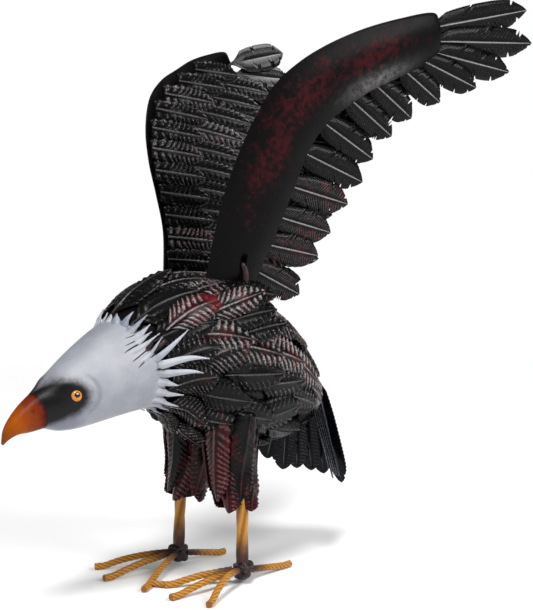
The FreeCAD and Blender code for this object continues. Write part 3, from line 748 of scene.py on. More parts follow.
# rows round the body from neck to rump; places count the body's rows, angles start at the back
coat = {
    "firstRow": 0.16, "rowPitch": 0.98, "rows": 7, "fewest": 5, "reach": 1.85, "lastReach": 0.55,
    "widest": 0.64, "width": 27.0 * mm, "lap": 2.5 * mm, "rise": 2.8 * mm, "base": 0.9 * mm,
    "spread": 1.1 * mm, "wander": 16.0, "lean": 13.0, "leanEnd": 5.0, "back": 40, "belly": 140,
    # where on the flank the feathers get a painted highlight, and how strong it is
    "highlightAngle": 60.0, "highlightWidth": 34.0, "highlightPlace": 0.2, "highlightTint": 1.9, "tint": 0.8,
    "tintBase": -0.6,
}
coatStyle = {
    "Barbs": 10, "Columns": 9, "Barb Height": 1.6 * mm, "Barb Slant": 0.24,
    "Quill Width": 3.0 * mm, "Quill Height": 1.6 * mm, "Serration": 0.14, "Notch Chance": 0.0,
    "Notch Depth": 0.0, "Crown": 1.6 * mm,
}
# the one feather with a red end
redTip = {"place": 0.62, "angle": 60.0, "turn": -12.0, "tint": 2.6, "length": 70.0 * mm,
          "width": 25.0 * mm, "base": 4.3 * mm}


def ringSteps(place, count):
    # angles round the body and the way walked to each
    angles = np.linspace(0, 2 * math.pi, count)
    ring = bodySurface(np.full(count, float(place)), angles)
    steps = np.linalg.norm(np.diff(ring, axis=0), axis=1)
    return angles, np.concatenate([[0.0], np.cumsum(steps)])


def coatRow(row):
    # place, reach, width and angles of a row's feathers, staggered from row to row
    place = coat["firstRow"] + coat["rowPitch"] * row
    reach = min(coat["reach"], len(bodyRows) - coat["lastReach"] - place)
    widest = place + reach * coat["widest"]
    girth = ringSteps(widest, 25)[1][-1]
    count = max(int(girth / coat["width"]), coat["fewest"])
    angles, walked = ringSteps(widest, 241)
    goals = (np.arange(count) + 0.5 * (row % 2)) / count * walked[-1]
    return place, reach, girth / count + coat["lap"], np.interp(goals, walked, angles)


def coatSide(angle):
    degrees = math.degrees(angle) % 360
    if min(degrees, 360 - degrees) < coat["back"]:
        return "back"
    if degrees < coat["belly"]:
        return "left"
    return "right" if degrees > 360 - coat["belly"] else "belly"


def coatToneAndHighlight(place, angle):
    # painted highlight: the flank's feathers, where the light falls, are painted paler than the
    # others, on top of a random tint for each feather
    fold = math.degrees(min(angle, 2 * math.pi - angle))
    worn = math.exp(-((fold - coat["highlightAngle"]) / coat["highlightWidth"]) ** 2) \
        * min(max(place - coat["highlightPlace"], 0), 1)
    return dice.uniform(-1, 1) * coat["tint"] + coat["highlightTint"] * worn + coat["tintBase"]


def layOnSurface(name, rows, surface, style, paint, tree="leaf"):
    mesh, spots, number = growFeathers(name, tree, rows, style, paint)
    spots = turned(spots, pick(rows, number, "turn"))
    place, angle = pick(rows, number, "place"), pick(rows, number, "angle")
    along = spots[:, 0] / pick(rows, number, "rate")
    height = pick(rows, number, "base") + coat["rise"] * along + spots[:, 2]
    setPlaces(mesh, beside(surface, place + along, angle, spots[:, 1], height))
    return mesh


def makeBodyCoat():
    groups = {"back": [], "left": [], "right": [], "belly": []}
    for row in range(coat["rows"]):
        place, reach, width, angles = coatRow(row)
        for angle in angles:
            length = distance(bodySurface(place, angle), bodySurface(place + reach, angle))
            lean = -coat["lean"] * math.sin(angle) * max(1 - place / coat["leanEnd"], 0)
            groups[coatSide(angle)].append({
                "length": length, "width": width, "tint": coatToneAndHighlight(place, angle),
                "place": place, "angle": angle, "rate": length / reach,
                "base": coat["base"] + dice.uniform(0, coat["spread"]),
                "turn": math.radians(lean + dice.uniform(-1, 1) * coat["wander"])})
    groups["left"].append(dict(
        redTip, rate=redTip["length"] / coat["reach"], angle=math.radians(redTip["angle"]),
        turn=math.radians(redTip["turn"])))
    for side, rows in groups.items():
        name = "coat" + side.capitalize()
        mesh = layOnSurface(name, rows, bodySurface, coatStyle, paints["coat"])
        addPiece(name, mesh, "body", ["coat_" + side], leafSheet)


thigh = {
    "rows": 2, "rowPitch": 0.95, "counts": (5, 4), "firstRow": -0.15, "reach": 3.6,
    "lastReach": 0.85, "lap": 6.0 * mm, "slant": 9.0, "wander": 4.0, "rowDrop": 0.5 * mm,
    "sheet": 0.8 * mm,
}
thighStyle = {**coatStyle, "Barbs": 15, "Barb Height": 1.5 * mm, "Barb Slant": 0.20,
              "Crown": 0.8 * mm}


def makeThighCoat(side, word):
    surface = thighSurface(side)
    rows = []
    for row in range(thigh["rows"]):
        place = thigh["firstRow"] + thigh["rowPitch"] * row
        count = thigh["counts"][row]
        reach = min(thigh["reach"], len(thighRows) - thigh["lastReach"] - place)
        radius = readRows(thighRows, place + reach * 0.5)[3]
        width = 2 * math.pi * radius / count + thigh["lap"]
        for index in range(count):
            angle = 2 * math.pi * (index + 0.5 * (row % 2)) / count
            length = distance(surface(place, angle), surface(place + reach, angle))
            rows.append({
                "length": length, "width": width, "tint": dice.uniform(-1, 1), "place": place,
                "angle": angle, "rate": length / reach,
                "base": coat["base"] - row * thigh["rowDrop"],
                "turn": math.radians(thigh["slant"] + dice.uniform(-1, 1) * thigh["wander"])})
    mesh = layOnSurface(word + "Thigh", rows, surface, thighStyle, paints["thigh"], "band")
    addPiece(word + "ThighFeathers", mesh, "body", [word + "_thigh_feathers"],
             thigh["sheet"])


# feathers that stand off the shoulder round the hook: root, middle and tip of the quill, width
shoulderFeathers = [
    ((40, -46, 226), (54.5, -20, 238), (56, 14, 247), 22),
    ((37, -30, 240), (53, -4, 245), (54, 30, 243), 23),
    ((44, -36, 218), (56, -8, 227), (57.5, 26, 231), 23),
    ((49, -20, 208), (58, 6, 216), (59, 38, 219), 23)]


def makeShoulder(side, word):
    rows = []
    for root, middle, tip, width in shoulderFeathers:
        a, b, c = [np.array(spot) * (side, 1, 1) * mm for spot in (root, middle, tip)]
        rows.append({"length": distance(a, b) + distance(b, c), "width": width * mm,
                     "tint": dice.uniform(-1, 1), "a": a, "b": 2 * b - (a + c) / 2, "c": c})
    mesh, spots, number = growFeathers(word + "Shoulder", "leaf", rows, coatStyle, paints["coat"])
    a, b, c = [pick(rows, number, label) for label in "abc"]
    share = (spots[:, 0] / pick(rows, number, "length"))[:, None]
    path = a * (1 - share) ** 2 + 2 * b * share * (1 - share) + c * share ** 2
    ahead = unit((b - a) * (1 - share) + (c - b) * share)
    aside = unit(np.cross(unit(np.array([side, 0.0, 0.35])), ahead))
    setPlaces(mesh, path + aside * spots[:, 1:2] + np.cross(ahead, aside) * spots[:, 2:])
    addPiece(word + "ShoulderFeathers", mesh, "body", [], leafSheet)


makeBodyCoat()
for side, word in sides:
    makeThighCoat(side, word)
    makeShoulder(side, word)
print("coat feathers laid")

wing = {
    "rootCorner": (0.107, -0.103, 1.008), "leanOut": 0.238, "sweepOut": 0.274,
    "crown": 8.0 * mm, "crownShare": 0.15, "sheet": 1.2 * mm, "flightRoot": 14.0 * mm,
    "flightTilt": 4.0, "flightDrop": 3.4 * mm, "layerStep": 1.15 * mm, "tipDraw": 1.3 * mm,
    "redFlights": 4, "redTint": 1.4,
}
# leading edge and trailing edge at each station, along and up the wing plane
plateEdges = np.array([
    (-0.001, -0.016, 0.124, -0.014),
    (0.004, 0.091, 0.150, 0.076),
    (0.014, 0.180, 0.168, 0.145),
    (0.030, 0.255, 0.187, 0.222),
    (0.055, 0.335, 0.205, 0.292),
    (0.090, 0.413, 0.239, 0.350),
    (0.143, 0.471, 0.280, 0.390),
    (0.209, 0.519, 0.340, 0.436),
    (0.287, 0.563, 0.410, 0.476),
    (0.381, 0.601, 0.468, 0.514),
    (0.467, 0.626, 0.499, 0.541),
    (0.489, 0.600, 0.500, 0.566)])
bend = {"sway": (0.022, -0.037), "turn": (0.20, 0.55), "fade": (0.15, 0.10), "droop": 0.016,
        "draw": 0.026, "outer": (0.12, 0.28)}
# root, tip, width and layer
flightShares = [
    ((0.486, 0.595), (0.752, 0.676), 0.074, 4.2),
    ((0.499, 0.566), (0.786, 0.603), 0.073, 3.3),
    ((0.499, 0.541), (0.732, 0.527), 0.070, 2.4),
    ((0.473, 0.518), (0.641, 0.478), 0.068, 1.5),
    ((0.432, 0.486), (0.542, 0.432), 0.066, 1),
    ((0.358, 0.445), (0.470, 0.386), 0.070, 1),
    ((0.297, 0.406), (0.424, 0.339), 0.070, 1),
    ((0.239, 0.347), (0.384, 0.282), 0.072, 1),
    ((0.200, 0.277), (0.367, 0.227), 0.074, 1),
    ((0.179, 0.201), (0.338, 0.173), 0.072, 1),
    ((0.162, 0.130), (0.305, 0.104), 0.070, 1),
    ((0.144, 0.066), (0.282, 0.048), 0.070, 1),
    ((0.126, 0.004), (0.250, -0.045), 0.069, 1)]
flightStyle = {
    "Barbs": 26, "Columns": 9, "Barb Height": 0.55 * mm, "Barb Slant": 0.24,
    "Quill Width": 2.2 * mm, "Quill Height": 1.1 * mm, "Serration": 0.02, "Notch Chance": 0.20,
    "Notch Depth": 0.55, "Crown": 0.6 * mm,
}
# place on the front edge, length, turn in degrees
frontCoverts = [
    (0.44, 0.132, -3.5), (0.89, 0.150, -3.5), (1.44, 0.150, -3.5), (2.08, 0.152, -3.5),
    (2.78, 0.156, -3.5), (3.46, 0.160, -3.5), (4.12, 0.164, -3.5), (4.80, 0.168, -3.5),
    (5.60, 0.166, -2.0), (6.57, 0.160, 0.0), (7.70, 0.150, 1.0)]
covertRows = {
    "rootShare": 0.07, "rootDraw": 0.10, "drawPlaces": (3.5, 6.0), "width": 20.4 * mm,
    "tilt": 1.6, "start": 0.50, "lower": 0.026, "length": 1.46, "innerStart": 1.25,
    "innerLength": 1.50, "innerCount": 9,
}
# how far root, middle and tip of a rank lie inside the plate
covertHeights = {"front": (-1.1 * mm, 6.0 * mm, 12.4 * mm), "rear": (3.9 * mm, 9.8 * mm, 13.8 * mm),
                 "inner": (7.6 * mm, 9.6 * mm, 10.6 * mm)}
covertStyle = {
    "Barbs": 10, "Columns": 9, "Barb Height": 2.0 * mm, "Barb Slant": 0.20,
    "Quill Width": 2.8 * mm, "Quill Height": 2.2 * mm, "Serration": 0.08, "Notch Chance": 0.0,
    "Notch Depth": 0.0, "Crown": 0.8 * mm,
}


def wingPoint(side, along, rise, offset):
    # from the wing plane's own measures to the bird's
    up = unit(np.array([side * wing["leanOut"], 0, 1]))
    out = unit(np.array([side, -wing["sweepOut"], -wing["leanOut"]]))
    back = np.cross(up, out)
    back = back if back[1] > 0 else -back
    corner = np.array(wing["rootCorner"]) * (side, 1, 1) * backHeight
    return (corner + np.multiply.outer(along, back) + np.multiply.outer(rise, up)
            + np.multiply.outer(offset, out))


def gridMesh(name, spots, closed=False):
    # quads through a rows x columns array of points; closed joins the last column to the first
    rows, columns = spots.shape[:2]
    faces = []
    for row in range(rows - 1):
        for column in range(columns if closed else columns - 1):
            here, beyond = row * columns + column, row * columns + (column + 1) % columns
            faces.append((here, beyond, beyond + columns, here + columns))
    mesh = bpy.data.meshes.new(name)
    mesh.from_pydata(spots.reshape(-1, 3).tolist(), [], faces)
    mesh.polygons.foreach_set("use_smooth", [True] * len(mesh.polygons))
    return mesh


def mend(mesh, work):
    # does one piece of work on a mesh and turns its faces outwards
    shape = bmesh.new()
    shape.from_mesh(mesh)
    work(shape)
    bmesh.ops.recalc_face_normals(shape, faces=shape.faces)
    shape.to_mesh(mesh)
    shape.free()


def mergeDoubles(shape):
    bmesh.ops.remove_doubles(shape, verts=shape.verts, dist=0.01 * mm)


def handBend(side, flat):
    # places in the wing plane, shares of its length; the right wing sways and droops a little
    flat = np.asarray(flat, float)
    if side > 0:
        return flat * wingLength
    along, rise = flat[..., 0], flat[..., 1]
    turn, end = bend["turn"]
    sway = (bend["sway"][0] * np.sin(math.pi * np.clip(rise / turn, 0, 1))
            + bend["sway"][1] * np.sin(math.pi * np.clip((rise - turn) / (end - turn), 0, 1)))
    fade = 1 - np.clip((along - bend["fade"][0]) / bend["fade"][1], 0, 1)
    droop = np.clip((along - bend["outer"][0]) / bend["outer"][1], 0, 1)
    return np.stack([along + sway * fade - bend["draw"] * droop,
                     rise - bend["droop"] * droop], -1) * wingLength


plateGrid = {
    "rows": 140, "columns": 37, "lipHeight": 1.1 * mm, "lipWidth": 1.7 * mm, "lipStart": 7.0,
    "endStep": 13 * mm, "roundEnd": 0.9, "roundness": 0.85, "bandMiddle": 0.42,
    "bandWidth": 0.30, "bandPlaces": (1, 10), "sheenMiddle": (7.3, 0.86), "sheenSize": (1.0, 0.14),
}
slotShape = {"along": 0.074, "rise": 0.020, "radius": 3.1 * mm, "height": 7.8 * mm, "around": 40,
             "deep": (-20 * mm, 30 * mm)}


def plateRow(side, place):
    # leading and trailing edge at a station place
    edges = [handBend(side, plateEdges[:, :2]), handBend(side, plateEdges[:, 2:])]
    return readRows(np.concatenate(edges, -1), place)


def plateSpot(side, place, share):
    row = plateRow(side, place)
    return row[..., 0:2] + (row[..., 2:4] - row[..., 0:2]) * np.asarray(share)[..., None]


def slotCutter(side):
    # upright rounded prism through the plate for the hook
    angle = 2 * math.pi * np.arange(slotShape["around"]) / slotShape["around"]
    lift = np.where(np.sin(angle) > 0, slotShape["height"], 0)
    along = wingLength * slotShape["along"] + slotShape["radius"] * np.cos(angle)
    rise = wingLength * slotShape["rise"] + slotShape["radius"] * np.sin(angle) + lift
    spots = np.stack([wingPoint(side, along, rise, np.full(len(angle), deep))
                      for deep in slotShape["deep"]])
    mesh = gridMesh("slotCutter", spots + start, True)
    mend(mesh, lambda shape: bmesh.ops.holes_fill(shape, edges=shape.edges))
    cutter = bpy.data.objects.new("slotCutter", mesh)
    scene.collection.objects.link(cutter)
    return cutter


def makePlate(side, word):
    last = len(plateEdges) - 1
    grid = plateGrid
    place = np.linspace(0, last, grid["rows"])[:, None]
    share = np.linspace(0, 1, grid["columns"])[None, :]
    end = np.clip(place - last + grid["roundEnd"], 0, grid["roundEnd"]) / grid["roundEnd"]
    share = 0.5 + (share - 0.5) * np.sqrt(1 - grid["roundness"] * end ** 2)
    place, share = np.broadcast_arrays(place, share)
    flat = plateSpot(side, place, share)
    row = plateRow(side, place)
    width = np.hypot(row[..., 2] - row[..., 0], row[..., 3] - row[..., 1])
    crown = wing["crown"] * np.minimum(1, width / (wingLength * wing["crownShare"])) \
        * 4 * share * (1 - share)
    inward = np.minimum(np.minimum(share, 1 - share) * width, (last - place) * grid["endStep"])
    lip = np.exp(-(inward / grid["lipWidth"]) ** 2) * np.clip(place - grid["lipStart"], 0, 1)
    points = wingPoint(side, flat[..., 0], flat[..., 1], crown + grid["lipHeight"] * lip)
    mesh = gridMesh(word + "Plate", points + start)
    first, final = grid["bandPlaces"]
    storeValues(mesh, "band", np.exp(-((share - grid["bandMiddle"]) / grid["bandWidth"]) ** 2)
                * np.clip((place - first) / 2, 0, 1) * np.clip((final - place) / 2, 0, 1))
    # painted reflection: where the pale sheen lies, near the lower edge towards the plate's end
    storeValues(mesh, "worn", np.exp(
        -((place - grid["sheenMiddle"][0]) / grid["sheenSize"][0]) ** 2
        - ((share - grid["sheenMiddle"][1]) / grid["sheenSize"][1]) ** 2))
    if side > 0:
        mesh.flip_normals()
    mesh.materials.append(paints["plate"])
    host = bpy.data.objects.new(word + "PlateHost", mesh)
    sheet = host.modifiers.new("sheet", "SOLIDIFY")
    sheet.thickness = wing["sheet"]
    sheet.offset = -1.0
    cut = host.modifiers.new("slot", "BOOLEAN")
    cut.operation = "DIFFERENCE"
    cutter = slotCutter(side)
    cut.object = cutter
    done = plainMesh(host)
    bpy.data.objects.remove(cutter)
    addPiece(word + "WingPlate", done, word + "_wing", [word + "_wing_plate"])


def makeFlight(side, word, index, spec):
    root, tip, widthShare, layer = spec
    root, tip = handBend(side, root), handBend(side, tip)
    reach = distance(root, tip)
    ahead = (tip - root) / reach
    name = "%sFlight%02d" % (word, index)
    red = index > len(flightShares) - wing["redFlights"]
    rows = [{"length": reach + wing["flightRoot"], "width": widthShare * wingLength,
             "tint": wing["redTint"] if red else dice.uniform(-1.5, 0.0)}]
    mesh, spots, _ = growFeathers(name, "vane", rows, {**flightStyle, "Seed": index},
                                  paints["flight"])
    tilt = math.radians(wing["flightTilt"])
    drop = wing["flightDrop"] + wing["layerStep"] * (layer - 1)
    along = spots[:, 0] - wing["flightRoot"]
    flat = spots[:, 1] * math.cos(tilt) - spots[:, 2] * math.sin(tilt)
    rise = spots[:, 1] * math.sin(tilt) + spots[:, 2] * math.cos(tilt) \
        - wing["tipDraw"] * np.clip(along / reach, 0, 1) ** 2
    setPlaces(mesh, wingPoint(side, root[0] + ahead[0] * along - ahead[1] * flat,
                              root[1] + ahead[1] * along + ahead[0] * flat,
                              rise + leafSheet - drop))
    if side > 0:
        mesh.flip_normals()
    addPiece(name, mesh, word + "_wing", ["%s_flight_%02d" % (word, index)],
             leafSheet)


def covertRow(spot, length, turn, rank):
    return {"length": length, "width": covertRows["width"], "tint": dice.uniform(-1, 1),
            "x": spot[0], "y": spot[1], "turn": turn, "heights": covertHeights[rank]}


def makeCoverts(side, word, rank):
    rows = []
    nearDraw, fullDraw = covertRows["drawPlaces"]
    for index, (place, reachShare, turn) in enumerate(frontCoverts):
        draw = min(max(place - nearDraw, 0) / (fullDraw - nearDraw), 1)
        rootShare = covertRows["rootShare"] + covertRows["rootDraw"] * draw
        root = plateSpot(side, float(place), rootShare)
        length = wingLength * reachShare
        turn = math.radians(turn)
        ahead = np.array([math.cos(turn), math.sin(turn)])
        lower = np.array([ahead[1], -ahead[0]]) * wingLength * covertRows["lower"]
        if rank == "front":
            rows.append(covertRow(root, length, turn, "front"))
            continue
        rows.append(covertRow(root + ahead * length * covertRows["start"] + lower,
                              length * covertRows["length"], turn, "rear"))
        if side < 0 and index < covertRows["innerCount"]:          # the right wing's third rank
            rows.append(covertRow(root + ahead * length * covertRows["innerStart"],
                                  length * covertRows["innerLength"], turn, "inner"))
    name = word + rank.capitalize() + "Coverts"
    mesh, spots, number = growFeathers(name, "band", rows, covertStyle, paints["covert"])
    share = spots[:, 0] / pick(rows, number, "length")
    low, middle, high = pick(rows, number, "heights").T
    lift = np.where(share < 0.5, low + (middle - low) * share * 2,
                    middle + (high - middle) * (share * 2 - 1))
    slope = math.tan(math.radians(covertRows["tilt"]))
    flat = turned(spots, pick(rows, number, "turn"))
    setPlaces(mesh, wingPoint(
        side, pick(rows, number, "x") + flat[:, 0], pick(rows, number, "y") + flat[:, 1],
        -lift - slope * spots[:, 1] - spots[:, 2] - leafSheet))
    if side < 0:
        mesh.flip_normals()
    addPiece(name, mesh, word + "_wing", ["%s_%s_coverts" % (word, rank)],
             leafSheet)


for side, word in sides:
    makePlate(side, word)
    for index, spec in enumerate(flightShares):
        makeFlight(side, word, index + 1, spec)
    makeCoverts(side, word, "front")
    makeCoverts(side, word, "rear")
print("wings made")

# a roof of feathers: the ridge's root and tip, then each feather's root and tip beside and below it
tail = {
    "ridge": ((0.508, 0.635), (0.662, 0.202)), "side": 0.690, "width": 25.0 * mm,
    "drop": 0.5 * mm, "gap": 1.65 * mm,
    "feathers": [((0.0, 0.0), (0.0, 0.448)), ((0.026, 0.010), (0.056, 0.408)),
                 ((0.052, 0.022), (0.098, 0.392)), ((0.078, 0.036), (0.150, 0.380)),
                 ((0.104, 0.050), (0.202, 0.382)), ((0.130, 0.064), (0.250, 0.334))],
}
tailStyle = {
    "Barbs": 24, "Columns": 9, "Barb Height": 0.5 * mm, "Barb Slant": 0.16,
    "Quill Width": 2.6 * mm, "Quill Height": 1.3 * mm, "Serration": 0.05, "Notch Chance": 0.05,
    "Notch Depth": 0.22, "Crown": 0.4 * mm,
}


def makeTail():
    root, tip = [np.array([0, y, z]) * backHeight for y, z in tail["ridge"]]
    down = unit(tip - root)
    rows = []
    order = [(0, 0)] + [(s, n) for n in range(1, len(tail["feathers"])) for s in (1, -1)]
    for side, index in order:
        across = np.array([side * tail["side"], -math.sqrt(1 - tail["side"] ** 2), 0]) if side \
            else np.array([1.0, 0, 0])
        out = unit(np.cross(across, down))
        out = out if out[1] > 0 else -out
        first, last = [root + across * step * backHeight + down * fall * backHeight
                       for step, fall in tail["feathers"][index]]
        ahead = unit(last - first)
        depth = tail["gap"] * index + (0 if index else tail["drop"])
        rows.append({"length": distance(first, last), "width": tail["width"],
                     "tint": dice.uniform(-1, 1), "root": first - out * (depth - leafSheet),
                     "ahead": ahead, "aside": np.cross(out, ahead), "out": out})
    mesh, spots, number = growFeathers("tail", "tail", rows, tailStyle, paints["tail"])
    root, ahead, aside, out = [pick(rows, number, label)
                               for label in ("root", "ahead", "aside", "out")]
    setPlaces(mesh, root + ahead * spots[:, :1] + aside * spots[:, 1:2] + out * spots[:, 2:])
    addPiece("tailFeathers", mesh, "body", ["tail_feathers"], leafSheet)


makeTail()
print("tail made")

# hills are a middle and a size; creases are arcs: radius, width, from and to in degrees, depth
head = {
    "rows": 60, "columns": 72,
    "brow": ((0.016, -0.160, 0.179), (0.010, 0.012, 0.0045)), "browRise": 1.6 * mm,
    "creases": [(16.5 * mm, 1.3 * mm, -50, 60, 0.90 * mm),
                (21.0 * mm, 1.1 * mm, -65, 20, 0.54 * mm)],
    "patches": [((0.018, -0.1600, 0.1692), (0.030, 0.0190, 0.0168), 1.0),
                ((0.010, -0.178, 0.160), (0.030, 0.012, 0.0165), 0.9)],
    "shade": 0.20, "crownShade": 0.42, "crownWidth": 0.62, "underShade": 0.42,
    "jaw": ((0.02, -0.166, 0.150), (0.03, 0.018, 0.010)), "jawShade": 0.55,
    "creaseShade": (17.2 * mm, 1.8 * mm, -60, 70, 0.26),
    "eyeMiddle": (-0.154, 0.170), "creaseFade": 12,
}


def blob(points, middle, size):
    # soft hill of height 1 round a middle, mirrored to both sides of the head
    near = (np.abs(points[..., 0]) - middle[0]) / size[0]
    return np.exp(-(near ** 2 + ((points[..., 1] - middle[1]) / size[1]) ** 2
                    + ((points[..., 2] - middle[2]) / size[2]) ** 2))


def crease(points, radius, width, low, high, depth):
    # soft groove on an arc round the eye, seen from the side
    y, z = points[..., 1] - head["eyeMiddle"][0], points[..., 2] - head["eyeMiddle"][1]
    turn = np.degrees(np.arctan2(z, y))
    fade = np.clip((turn - low) / head["creaseFade"], 0, 1) \
        * np.clip((high - turn) / head["creaseFade"], 0, 1)
    return np.exp(-((np.hypot(y, z) - radius) / width) ** 2) * fade * depth


def tubePoints(rows, sizes):
    # places and angles of a closed tube through a table of rows, and its points
    place = np.linspace(0, len(rows) - 1, sizes["rows"])[:, None]
    angle = np.linspace(0, 2 * math.pi, sizes["columns"], endpoint=False)[None, :]
    place, angle = np.broadcast_arrays(place, angle)
    points = ringPoint(readRows(rows, place), angle)
    return place, angle, points, unit(points - points.mean(1, keepdims=True))


def makeHead():
    place, angle, points, normals = tubePoints(headRows, head)
    lift = blob(points, *head["brow"]) * head["browRise"]
    for groove in head["creases"]:
        lift -= crease(points, *groove)
    points = points + normals * lift[..., None]
    mesh = gridMesh("head", points + start, True)
    patch = sum(blob(points, middle, size) * share for middle, size, share in head["patches"])
    storeValues(mesh, "patch", np.minimum(patch, 1))
    side = np.abs(points[..., 0]) / readRows(headRows, place)[..., 4]
    under = 0.5 - 0.5 * np.cos(angle)
    crown = np.exp(-(np.minimum(angle, 2 * math.pi - angle) / head["crownWidth"]) ** 2)
    # painted shade: darker at the crown, underneath, at the jaw and along the crease behind the eye
    storeValues(mesh, "shade", head["shade"] + head["crownShade"] * crown
                + head["underShade"] * np.clip(under * 1.2, 0, 1) * side
                + head["jawShade"] * blob(points, *head["jaw"])
                + crease(points, *head["creaseShade"]))
    mesh.materials.append(paints["head"])
    mend(mesh, mergeDoubles)
    addPiece("headShell", mesh, "body", ["head_shell"])


beak = {"rows": 34, "columns": 40, "nostril": ((0.0075, -0.186, 0.1600), (0.006, 0.0026, 0.0024)),
        "nostrilDepth": 0.7 * mm}


def closeTip(shape):
    shape.verts.ensure_lookup_table()
    first = (beak["rows"] - 1) * beak["columns"]
    shape.faces.new(shape.verts[first:first + beak["columns"]])


def makeBeak():
    place, _, points, normals = tubePoints(beakRows, beak)
    nostril = blob(points, *beak["nostril"])
    points = points - normals * (nostril * beak["nostrilDepth"])[..., None]
    mesh = gridMesh("beak", points + start, True)
    storeValues(mesh, "along", place / (len(beakRows) - 1))
    storeValues(mesh, "nostril", nostril)
    mesh.materials.append(paints["beak"])
    mend(mesh, closeTip)
    addPiece("beak", mesh, "body", ["beak"])


eye = {
    "radius": 5.3 * mm, "place": (0.0735, -0.588, 0.649), "out": (0.92, -0.30, 0.22),
    "rings": 14, "columns": 40, "glintUp": 1.0 * mm, "glintAcross": 0.3 * mm,
    "glintSize": 0.7 * mm,
}


def makeEye(side, word):
    # shallow dome that faces out of the cheek
    middle = np.array(eye["place"]) * backHeight * (side, 1, 1)
    out = unit(np.array(eye["out"]) * (side, 1, 1))
    across = unit(np.cross(out, (0, 0, 1)))
    up = np.cross(across, out)
    share = np.linspace(0, 1, eye["rings"])[:, None]
    angle = np.linspace(0, 2 * math.pi, eye["columns"], endpoint=False)[None, :]
    share, angle = np.broadcast_arrays(share[..., None], angle[..., None])
    radius = eye["radius"] * np.sin(share * math.pi / 2)
    points = middle + across * radius * np.cos(angle) + up * radius * np.sin(angle) \
        + out * eye["radius"] * np.cos(share * math.pi / 2)
    mesh = gridMesh(word + "Eye", points + start, True)
    storeValues(mesh, "ring", radius / eye["radius"])
    spot = middle + out * eye["radius"] + up * eye["glintUp"] + across * eye["glintAcross"]
    glint = np.linalg.norm(points - spot, axis=-1)
    storeValues(mesh, "glint", np.clip(1.2 - glint / eye["glintSize"], 0, 1))
    mesh.materials.append(paints["eye"])
    mend(mesh, mergeDoubles)
    addPiece(word + "Eye", mesh, "body", [word + "_eye"])


# how high the strips lie: at their roots, over the collar's edge and out over the coat
fringe = {
    "sheet": 0.8 * mm, "start": 0.8 * mm, "sink": 1.6 * mm, "sinkShare": 0.22,
    "step": 3.6 * mm, "stepPlace": 0.5, "lift": 1.0 * mm, "bow": 1.5 * mm, "swing": 5,
    "narrow": 0.88, "ridge": (-0.5, 0.05), "ridgeLength": 30.0 * mm, "ridgeWidth": 9.0 * mm,
    "shadowStart": 0.1 * mm, "shadowSheet": 0.3 * mm,
}
# root place and angle, tip place and angle, width in mm; angles from the top of the neck
fringeStrips = [
    (-0.47, 17, 0.14, 9, 9.5), (-0.40, 27, 0.39, 25, 8.5), (-0.57, 35, 0.53, 38, 7.5),
    (-0.50, 47, 0.42, 47, 8.0), (-0.66, 55, 0.32, 53.5, 6.5), (-1.10, 62.5, 0.47, 59, 6.0),
    (-0.90, 78, 0.47, 63, 5.6), (-0.28, 81, 1.12, 67, 6.8), (-0.20, 88, 1.51, 90, 8.5),
    (-0.30, 97, 1.26, 101, 8.5), (-0.46, 109, 0.45, 113, 9.5), (-0.59, 122, 0.63, 124, 9.5),
    (-0.65, 135, 0.59, 141, 9.0), (-0.6, 150, 0.4, 152, 9.0), (-0.6, 166, 0.45, 168, 9.0)]
# dark sheets between the strips, painted shadow in the gaps, from the outer end to the inner one
fringeSlits = [
    (0.05, 43, -0.75, 42, 2.6), (0.00, 51, -0.95, 51, 3.2), (-0.05, 58, -1.20, 59, 3.8),
    (0.15, 63, -1.07, 73, 4.4), (0.53, 67, -0.95, 83, 6.0), (0.28, 93, -0.35, 93, 4.0)]
stripStyle = {
    "Barbs": 8, "Columns": 5, "Barb Height": 0.0, "Barb Slant": 0.0, "Quill Width": 1.0 * mm,
    "Quill Height": 0.35 * mm, "Serration": 0.0, "Notch Chance": 0.0, "Notch Depth": 0.0,
    "Crown": 0.6 * mm,
}


def stripRows(strips):
    rows = []
    for side in (1, -1):
        for rootPlace, rootAngle, tipPlace, tipAngle, width in strips:
            swing = 0 if side > 0 else dice.uniform(-fringe["swing"], fringe["swing"])
            a = np.array([rootPlace, side * math.radians(rootAngle + swing)])
            b = np.array([tipPlace, side * math.radians(tipAngle + swing)])
            rows.append({"length": distance(collarSurface(*a), collarSurface(*b)),
                         "width": width * fringe["narrow"] * mm, "tint": dice.uniform(-1, 1),
                         "a": a, "b": b, "bend": dice.uniform(-1, 1)})
    return rows


def makeFringe(name, rows, paint, lift, sink, nodes, sheet):
    mesh, spots, number = growFeathers(name, "strip", rows, stripStyle, paint)
    share = spots[:, 0] / pick(rows, number, "length")
    a, b = pick(rows, number, "a"), pick(rows, number, "b")
    place, angle = (a + (b - a) * share[:, None]).T
    past = place - coat["firstRow"]
    high = lift - sink * (1 - share / fringe["sinkShare"]).clip(0) \
        + fringe["step"] * np.clip(1 + past / fringe["stepPlace"], 0, 1) \
        + (coat["rise"] + fringe["lift"]) * np.maximum(past, 0)
    step = 0.01
    here = collarSurface(place, angle)
    around = unit(collarSurface(place, angle + step) - here)
    along = unit(collarSurface(place + step, angle) - here)
    normal = unit(np.cross(around, along))
    ahead = collarSurface(b[:, 0], b[:, 1]) - collarSurface(a[:, 0], a[:, 1])
    aside = unit(np.cross(normal, ahead))
    bow = pick(rows, number, "bend") * fringe["bow"] * np.sin(math.pi * share)
    setPlaces(mesh, here + normal * (high + spots[:, 2])[:, None]
              + aside * (spots[:, 1] + bow)[:, None])
    addPiece(name, mesh, "body", nodes, sheet)


